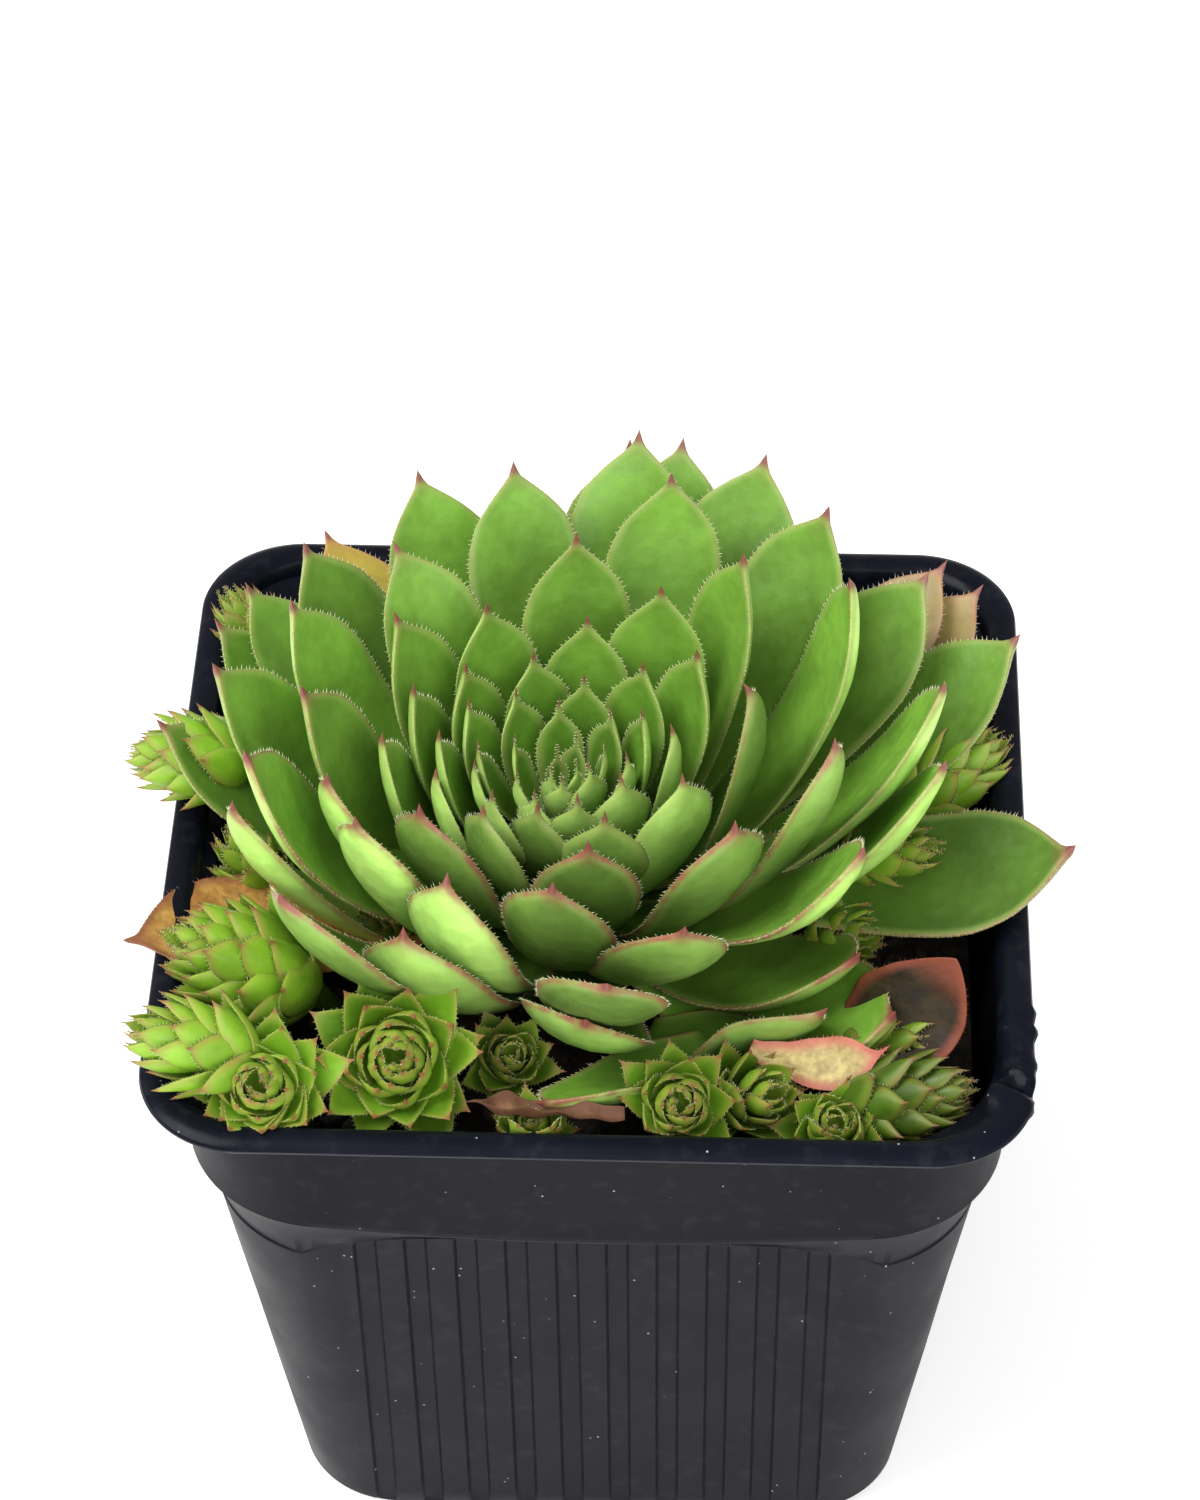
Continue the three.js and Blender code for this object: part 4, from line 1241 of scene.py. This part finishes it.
@dataclass(frozen=True)
class Bow:
    """How the middle of each side of a ring is moved.

    dip is how much lower the middle lies than the side's ends, and outwards how far it stands out. The
    bow reaches so far to either side of the middle, and a higher power makes it squarer.
    """

    dip: float = 0
    outwards: float = 0
    reach: float = 1
    power: float = 2

    def scaled(self, share: float) -> Bow:
        """Shrinks the bow to a share of its depth."""
        return replace(self, dip=self.dip * share, outwards=self.outwards * share)

    def towards(self, other: Bow, share: float) -> Bow:
        """Brings the bow's depth a share of the way to another bow's."""
        dip = self.dip + (other.dip - self.dip) * share
        outwards = self.outwards + (other.outwards - self.outwards) * share
        return replace(self, dip=dip, outwards=outwards)


@dataclass
class NurseryPot:
    """The thin plastic pot: grooved tapering walls, an undercut, a smooth collar and a rolled lip."""

    lip_height: float = 73.0
    lip_half: float = 45.0
    lip_corner: float = 10.8
    collar_half: float = 42.0
    collar_corner: float = 14.7
    collar_depth: float = 15.1
    undercut: float = 7.3
    body_half: float = 41.4
    body_corner: float = 14.9
    body_top: float = 61.6
    base_half: float = 33.0
    base_corner: float = 11.0
    chamfer: float = 0.9
    wall: float = 1.2
    floor: float = 1.4

    collar_bow: Bow = Bow(2.4, -0.8, 27.0, 2)
    undercut_bow: Bow = Bow(-4.5, 0.6, 30.0, 6)

    # The heights of the rings up the body, and where its bow starts.
    body_heights: tuple[float, ...] = (3, 8, 14, 20, 26, 32, 38, 43, 47)
    bow_start: float = 20

    groove_count: int = 10
    groove_pitch: float = 5.17
    groove_width: float = 2.2
    groove_depth: float = 0.42
    groove_slope: float = 0.3
    corner_steps: int = 60
    drain_radius: float = 3.0
    drain_offset: float = 20.0
    sharp_angle: float = 28.0

    # Where the lip was knocked: place from the lip's centre, radius, and how far the plastic moved.
    knocks: tuple[tuple[Colour, float, Colour], ...] = (
        ((40.9, -35.6, 0.6), 3.2, (-1.1, 0.5, 0.9)),
        ((43.0, -34.2, 0.9), 1.7, (-0.2, 0.0, -1.1)),
        ((44.6, -35.0, 0.5), 1.5, (-0.5, 0.0, -0.8)),
        ((45.0, -37.6, -0.8), 1.3, (0.6, -0.4, 0.0)),
        ((45.0, -24.3, 0.0), 1.3, (0.35, 0.0, 0.1)),
        ((45.1, -27.0, 0.0), 1.5, (0.45, 0.0, 0.1)),
        ((45.1, -31.4, 0.0), 1.2, (0.25, 0.0, 0.0)),
    )

    def side_stations(self) -> tuple[np.ndarray, np.ndarray]:
        """Places the points along one side.

        Returns:
            The distances from the side's middle, in order, and how deep in a groove each is.
        """
        outer = (self.groove_width + self.groove_slope) / 2
        inner = (self.groove_width - self.groove_slope) / 2
        stations, depths = [-self.groove_count / 2 * self.groove_pitch], [0]
        for i in range(self.groove_count):
            centre = (i - (self.groove_count - 1) / 2) * self.groove_pitch
            asides = (-outer, -inner, 0, inner, outer, self.groove_pitch / 2)
            stations += [centre + aside for aside in asides]
            depths += [0, 1, 1, 1, 0, 0]
        return np.array(stations), np.array(depths, float)

    def ring(
        self,
        half: float,
        corner: float,
        z: float,
        bow: Bow = Bow(),
        groove: float = 0,
        shift: float = 0,
    ) -> np.ndarray:
        """Lays one ring of points round the pot.

        Args:
            half: Half the ring's width.
            corner: Its corner radius.
            z: Its height.
            bow: How the middle of each side is moved.
            groove: How deep the grooves are at this ring.
            shift: How far the ring stands to the right.

        Returns:
            The ring's points.
        """
        x, depth = self.side_stations()
        straight = half - corner
        beyond = np.clip((np.abs(x) - straight) / corner, 0, 1)
        side = np.stack([x, groove * depth - straight - corner * np.sqrt(1 - beyond**2)], axis=1)
        first_turn = math.asin(min(1.0, max(0.0, (x[-1] - straight) / corner)))
        arc = (math.pi / 2 - 2 * first_turn) * corner
        run = max(0.0, straight - x[-1])
        steps = (np.arange(self.corner_steps) + 0.5) / self.corner_steps * (arc + 2 * run)
        turn = first_turn + np.clip(steps - run, 0, arc) / corner
        around_x = straight + corner * np.sin(turn) - np.maximum(0, run - steps)
        around_y = np.maximum(0, steps - run - arc) - straight - corner * np.cos(turn)
        quarter = np.concatenate([side, np.stack([around_x, around_y], axis=1)])
        share = np.maximum(0, 1 - (np.abs(quarter).min(axis=1) / bow.reach) ** bow.power)
        quarter[:, 1] -= bow.outwards * share * (np.abs(quarter[:, 0]) < straight)
        sag = bow.dip * share
        turns = []
        for angle in np.arange(4) * math.pi / 2:
            c, s = math.cos(angle), math.sin(angle)
            turned = quarter @ np.array([[c, s], [-s, c]])
            turns.append(np.column_stack([turned[:, 0] + shift, turned[:, 1], z - sag]))
        return np.concatenate(turns)

    def body_at(self, z: float) -> tuple[float, float]:
        """Returns the half width and corner radius of the body's outer face at a height."""
        share = z / self.body_top
        half = self.base_half + (self.body_half - self.base_half) * share
        return half, self.base_corner + (self.body_corner - self.base_corner) * share

    def outer_rings(self) -> list[np.ndarray]:
        """Lays the rings of the outside, from the underside up to the lip's underside."""
        edge = self.lip_height - self.collar_depth
        top = edge - self.undercut
        rings = [
            self.ring(self.base_half - 2.4, self.base_corner - 2.4, 0),
            self.ring(self.base_half - self.chamfer, self.base_corner - self.chamfer, 0),
            self.ring(self.base_half - 0.35 * self.chamfer, self.base_corner, 0.3 * self.chamfer),
        ]
        for z in (self.chamfer, *self.body_heights, top - 1.2, top - 0.6):
            half, corner = self.body_at(z)
            bow = self.undercut_bow.scaled(float(ease(np.array(z), self.bow_start, top)))
            rings.append(self.ring(half, corner, z, bow, self.groove_depth))
        for below, in_groove in ((0.25, 0.9), (0.05, 0.15), (0.0, 0)):
            half, corner = self.body_at(top - below)
            rings.append(
                self.ring(half, corner, top - below, self.undercut_bow, self.groove_depth * in_groove)
            )
        half, corner = self.body_at(top)
        for share in (0.04, 0.5):
            bow = self.undercut_bow.towards(self.collar_bow, share)
            waist = half + (self.collar_half - 0.9 - half) * share
            rings.append(self.ring(waist, self.collar_corner, top + (edge - 0.3 - top) * share, bow))
        for inwards, up in ((0.45, -0.2), (0.12, 0), (-0.02, 0.3), (0, 1)):
            rings.append(
                self.ring(self.collar_half - inwards, self.collar_corner, edge + up, self.collar_bow)
            )
        for share in (0.25, 0.5, 0.75):
            z = edge + 1 + (self.collar_depth - 3) * share
            bow = self.collar_bow.scaled(1 - share)
            rings.append(self.ring(self.collar_half, self.collar_corner, z, bow))
        rings.append(self.ring(self.collar_half + 0.1, self.collar_corner, self.lip_height - 1.7))
        return rings

    def lip_rings(self) -> list[np.ndarray]:
        """Lays the rings of the rolled lip, from its underside over the crest to its inner edge."""
        turned = (
            (-1.9, -1.35), (-1.0, -0.95), (-0.35, -0.6), (-0.05, -0.2), (0.0, 0.1), (-0.15, 0.45),
            (-0.5, 0.72), (-1.0, 0.92), (-1.6, 1.0), (-2.2, 0.95), (-2.7, 0.7), (-3.1, 0.3),
            (-3.4, -0.3), (-3.6, -1.0),
        )  # fmt: skip
        return [
            self.ring(
                self.lip_half + out,
                self.lip_corner + 0.55 * max(out, -2.5),
                self.lip_height + up,
                shift=float(LIP_CENTRE[0]),
            )
            for out, up in turned
        ]

    def inner_rings(self) -> list[np.ndarray]:
        """Lays the rings of the inside, from under the lip down to the floor."""
        edge = self.lip_height - self.collar_depth
        half, corner = self.collar_half - self.wall, self.collar_corner - self.wall
        rings = [self.ring(half, corner, self.lip_height - z) for z in (2.0, 4.0)]
        for z in (edge, 40, 20, self.floor + 1):
            half, corner = self.body_at(z)
            rings.append(self.ring(half - self.wall, corner - self.wall, z))
        rings.append(self.ring(self.base_half - self.wall - 1, self.base_corner - self.wall, self.floor))
        return rings

    def knocked(self, points: np.ndarray) -> np.ndarray:
        """Pushes the plastic about where the lip was knocked.

        Args:
            points: The pot's points.

        Returns:
            The points with the crease and the nicks.
        """
        moved = points.copy()
        for place, radius, push in self.knocks:
            away = np.linalg.norm(points - LIP_CENTRE - np.array(place), axis=1) / radius
            moved += np.clip(1 - away**2, 0, 1)[:, None] ** 2 * np.array(push)
        return moved

    def drains(self) -> bpy.types.Object:
        """Makes the four pins that cut the drain holes."""
        patchwork = Patchwork()
        circle = flat_circle(24) * self.drain_radius
        for x in (-self.drain_offset, self.drain_offset):
            for y in (-self.drain_offset, self.drain_offset):
                foot = np.array([x, y, 0.0])
                rings = np.stack([foot + circle - 3 * UP, foot + circle + 5 * UP])
                patchwork.add_tube(rings, np.zeros(3), (0, 0, 0))
        return patchwork.piece("drain_pins", None)

    def build(self, finish: bpy.types.Material) -> None:
        """Builds the pot and cuts its drain holes."""
        rings = np.stack(self.outer_rings() + self.lip_rings() + self.inner_rings())
        points = self.knocked(rings.reshape(-1, 3)).reshape(rings.shape)
        patchwork = Patchwork()
        patchwork.add_tube(points, np.zeros(3), (0, 0, 0))
        pot = patchwork.piece("pot_moulding", finish)
        pins = self.drains()
        cut = pot.modifiers.new("drain_holes", "BOOLEAN")
        cut.object, cut.operation, cut.solver = pins, "DIFFERENCE", "MANIFOLD"
        seen = pot.evaluated_get(bpy.context.evaluated_depsgraph_get())
        holed = bpy.data.meshes.new_from_object(seen)
        pot.modifiers.clear()
        pot.data = holed
        holed.set_sharp_from_angle(angle=math.radians(self.sharp_angle))
        bpy.data.objects.remove(pins)
        settle(pot, "pot", "pot")


@dataclass
class PottingMix:
    """The block of potting mix: lumpy on top, following the pot's walls below."""

    top: float = 62.0
    bottom: float = 1.7
    half_top: float = 38.9
    corner_top: float = 13.0
    half_bottom: float = 31.2
    corner_bottom: float = 9.4
    rings: int = 46
    crumbs: int = 420
    lumpiness: float = 1.1

    def lumps(self, point: np.ndarray) -> float:
        """Returns how far the surface rises or sinks at a place."""
        rough = noise.fractal(Vector(point * 0.35), 0.6, 2.1, 4)
        broad = noise.noise(Vector(point * 0.09))
        return self.lumpiness * (0.55 * rough + 0.9 * broad) - 0.5

    def build(self, pot: NurseryPot, finish: bpy.types.Material) -> None:
        """Builds the block and its loose crumbs as one piece.

        Args:
            pot: The pot, whose ring shape the block follows.
            finish: The potting mix's material.
        """
        rim = pot.ring(self.half_top, self.corner_top, self.top)
        foot = pot.ring(self.half_bottom, self.corner_bottom, self.bottom)
        rings = [foot, rim - 0.6 * UP]
        for share in 1 - np.linspace(0, 0.97, self.rings) ** 1.15:
            ring = rim * np.array([share, share, 1.0])
            ring[:, 2] += [self.lumps(point) for point in ring]
            rings.append(ring)
        patchwork = Patchwork()
        patchwork.add_tube(np.stack(rings), np.zeros(3), (0.5, 0, 0))
        self.strew(patchwork)
        settle(patchwork.piece("potting_mix_bed", finish), "soil", "soil")

    def strew(self, patchwork: Patchwork) -> None:
        """Adds loose crumbs and bits of bark on top."""
        rng = np.random.default_rng(7)
        circle = flat_circle(8)
        for _ in range(self.crumbs):
            x, y = rng.uniform(-36, 36, 2)
            size = rng.uniform(0.4, 1.3)
            stretch = rng.uniform(0.6, 1.6, 3) * size
            spin = np.array(Matrix.Rotation(rng.uniform(0, 6.28), 3, Vector(rng.normal(0, 1, 3))))
            rings = [circle * r + UP * z for z, r in ((-0.9, 0.45), (-0.3, 1.0), (0.4, 0.9), (0.9, 0.4))]
            shape = (np.stack(rings) * stretch * (1 + rng.uniform(-0.18, 0.18, (4, 8, 1)))) @ spin.T
            place = np.array([x, y, self.top])
            place[2] += self.lumps(place) + 0.2
            is_bark = float(rng.uniform() < 0.12)
            patchwork.add_tube(shape + place, np.zeros(3), (rng.uniform(), 0, is_bark))


# ----------------------------------------------------------------------------------------------------
# Studio


@dataclass
class Studio:
    """A pale floor, soft light and the camera."""

    floor_reach: float = 3.0
    floor_colour: Colour = (0.9, 0.9, 0.9)
    surroundings: float = 0.55
    floor_glow: float = 0.3

    # The camera, in millimetres and degrees: rounded results of a least-squares fit.
    lens: float = 113.74
    distance: float = 499.6
    elevation: float = 44.217
    azimuth: float = 2.139
    roll: float = -0.388
    aim_right: float = 0.232
    aim_up: float = 9.056

    def lay_floor(self) -> None:
        """Lays the floor."""
        bpy.ops.mesh.primitive_plane_add(size=2 * self.floor_reach, location=(0, 0, 0))
        floor = bpy.context.object
        floor.name = "studio_floor"
        bench = NodeBench("studio_floor")
        white = (1.0, 1.0, 1.0)
        glow = {"Emission_Color": white, "Emission_Strength": self.floor_glow}
        floor.data.materials.append(bench.dress(Base_Color=self.floor_colour, Roughness=0.9, **glow))

    def add_light(self, name: str, place: tuple[float, float, float], size: float, power: float) -> None:
        """Hangs a square soft box that faces the plant.

        Args:
            name: The light's name.
            place: Where it hangs, in metres.
            size: The length of its side in metres.
            power: Its power in watts.
        """
        data = bpy.data.lights.new(name, "AREA")
        data.shape, data.size, data.energy = "SQUARE", size, power
        lamp = bpy.data.objects.new(name, data)
        lamp.location = place
        aim = Vector((0, 0, 0.07)) - lamp.location
        lamp.rotation_euler = aim.to_track_quat("-Z", "Y").to_euler()
        bpy.context.scene.collection.objects.link(lamp)

    def light(self) -> None:
        """Sets the soft boxes and the pale surroundings."""
        world = bpy.data.worlds.new("studio_surroundings")
        bpy.context.scene.world = world
        world.use_nodes = True
        sky = world.node_tree.nodes["Background"]
        sky.inputs["Color"].default_value = (1.0, 1.0, 1.0, 1)
        sky.inputs["Strength"].default_value = self.surroundings
        self.add_light("key_softbox", (-0.55, -0.15, 0.9), 0.7, 13)
        self.add_light("front_softbox", (0.3, -0.85, 0.6), 0.9, 10)

    def place_camera(self) -> None:
        """Places the camera and makes it the scene's."""
        up, around = math.radians(self.elevation), math.radians(self.azimuth)
        level = math.cos(up)
        back = Vector((math.sin(around) * level, -math.cos(around) * level, math.sin(up)))
        right = Vector((math.cos(around), math.sin(around), 0))
        above = back.cross(right)
        roll = math.radians(self.roll)
        side = right * math.cos(roll) + above * math.sin(roll)
        top = above * math.cos(roll) - right * math.sin(roll)
        lip = Vector(LIP_CENTRE)
        place = lip + back * self.distance + side * self.aim_right + top * self.aim_up
        data = bpy.data.cameras.new("studio_camera")
        data.lens, data.sensor_width, data.sensor_fit = self.lens, 36.0, "AUTO"
        data.clip_start, data.clip_end = 0.01, 20
        camera = bpy.data.objects.new("studio_camera", data)
        turned = Matrix((side, top, back)).transposed().to_4x4()
        camera.matrix_world = Matrix.Translation(place * METRES) @ turned
        bpy.context.scene.collection.objects.link(camera)
        bpy.context.scene.camera = camera

    def build(self) -> None:
        """Sets up the floor, lights, camera and plain colours."""
        self.lay_floor()
        self.light()
        self.place_camera()
        bpy.context.scene.view_settings.view_transform = "Standard"


def main() -> None:
    """Builds the studio, the pot and the plant, and reports each piece."""
    logging.basicConfig(level=logging.INFO, format="%(name)s %(message)s")
    Studio().build()
    pot = NurseryPot()
    pot.build(PlasticFinish().material())
    PottingMix().build(pot, SoilFinish().material())
    leaf_finishes = stock(LeafKind)
    MotherRosette().build(leaf_finishes)
    for chick in brood():
        chick.build(leaf_finishes[LeafKind.CHICK])
    dry_finishes = stock(DryKind)
    for seed, leaf in enumerate(withered_leaves()):
        leaf.build(dry_finishes[leaf.kind], seed)


if __name__ == "__main__":
    main()
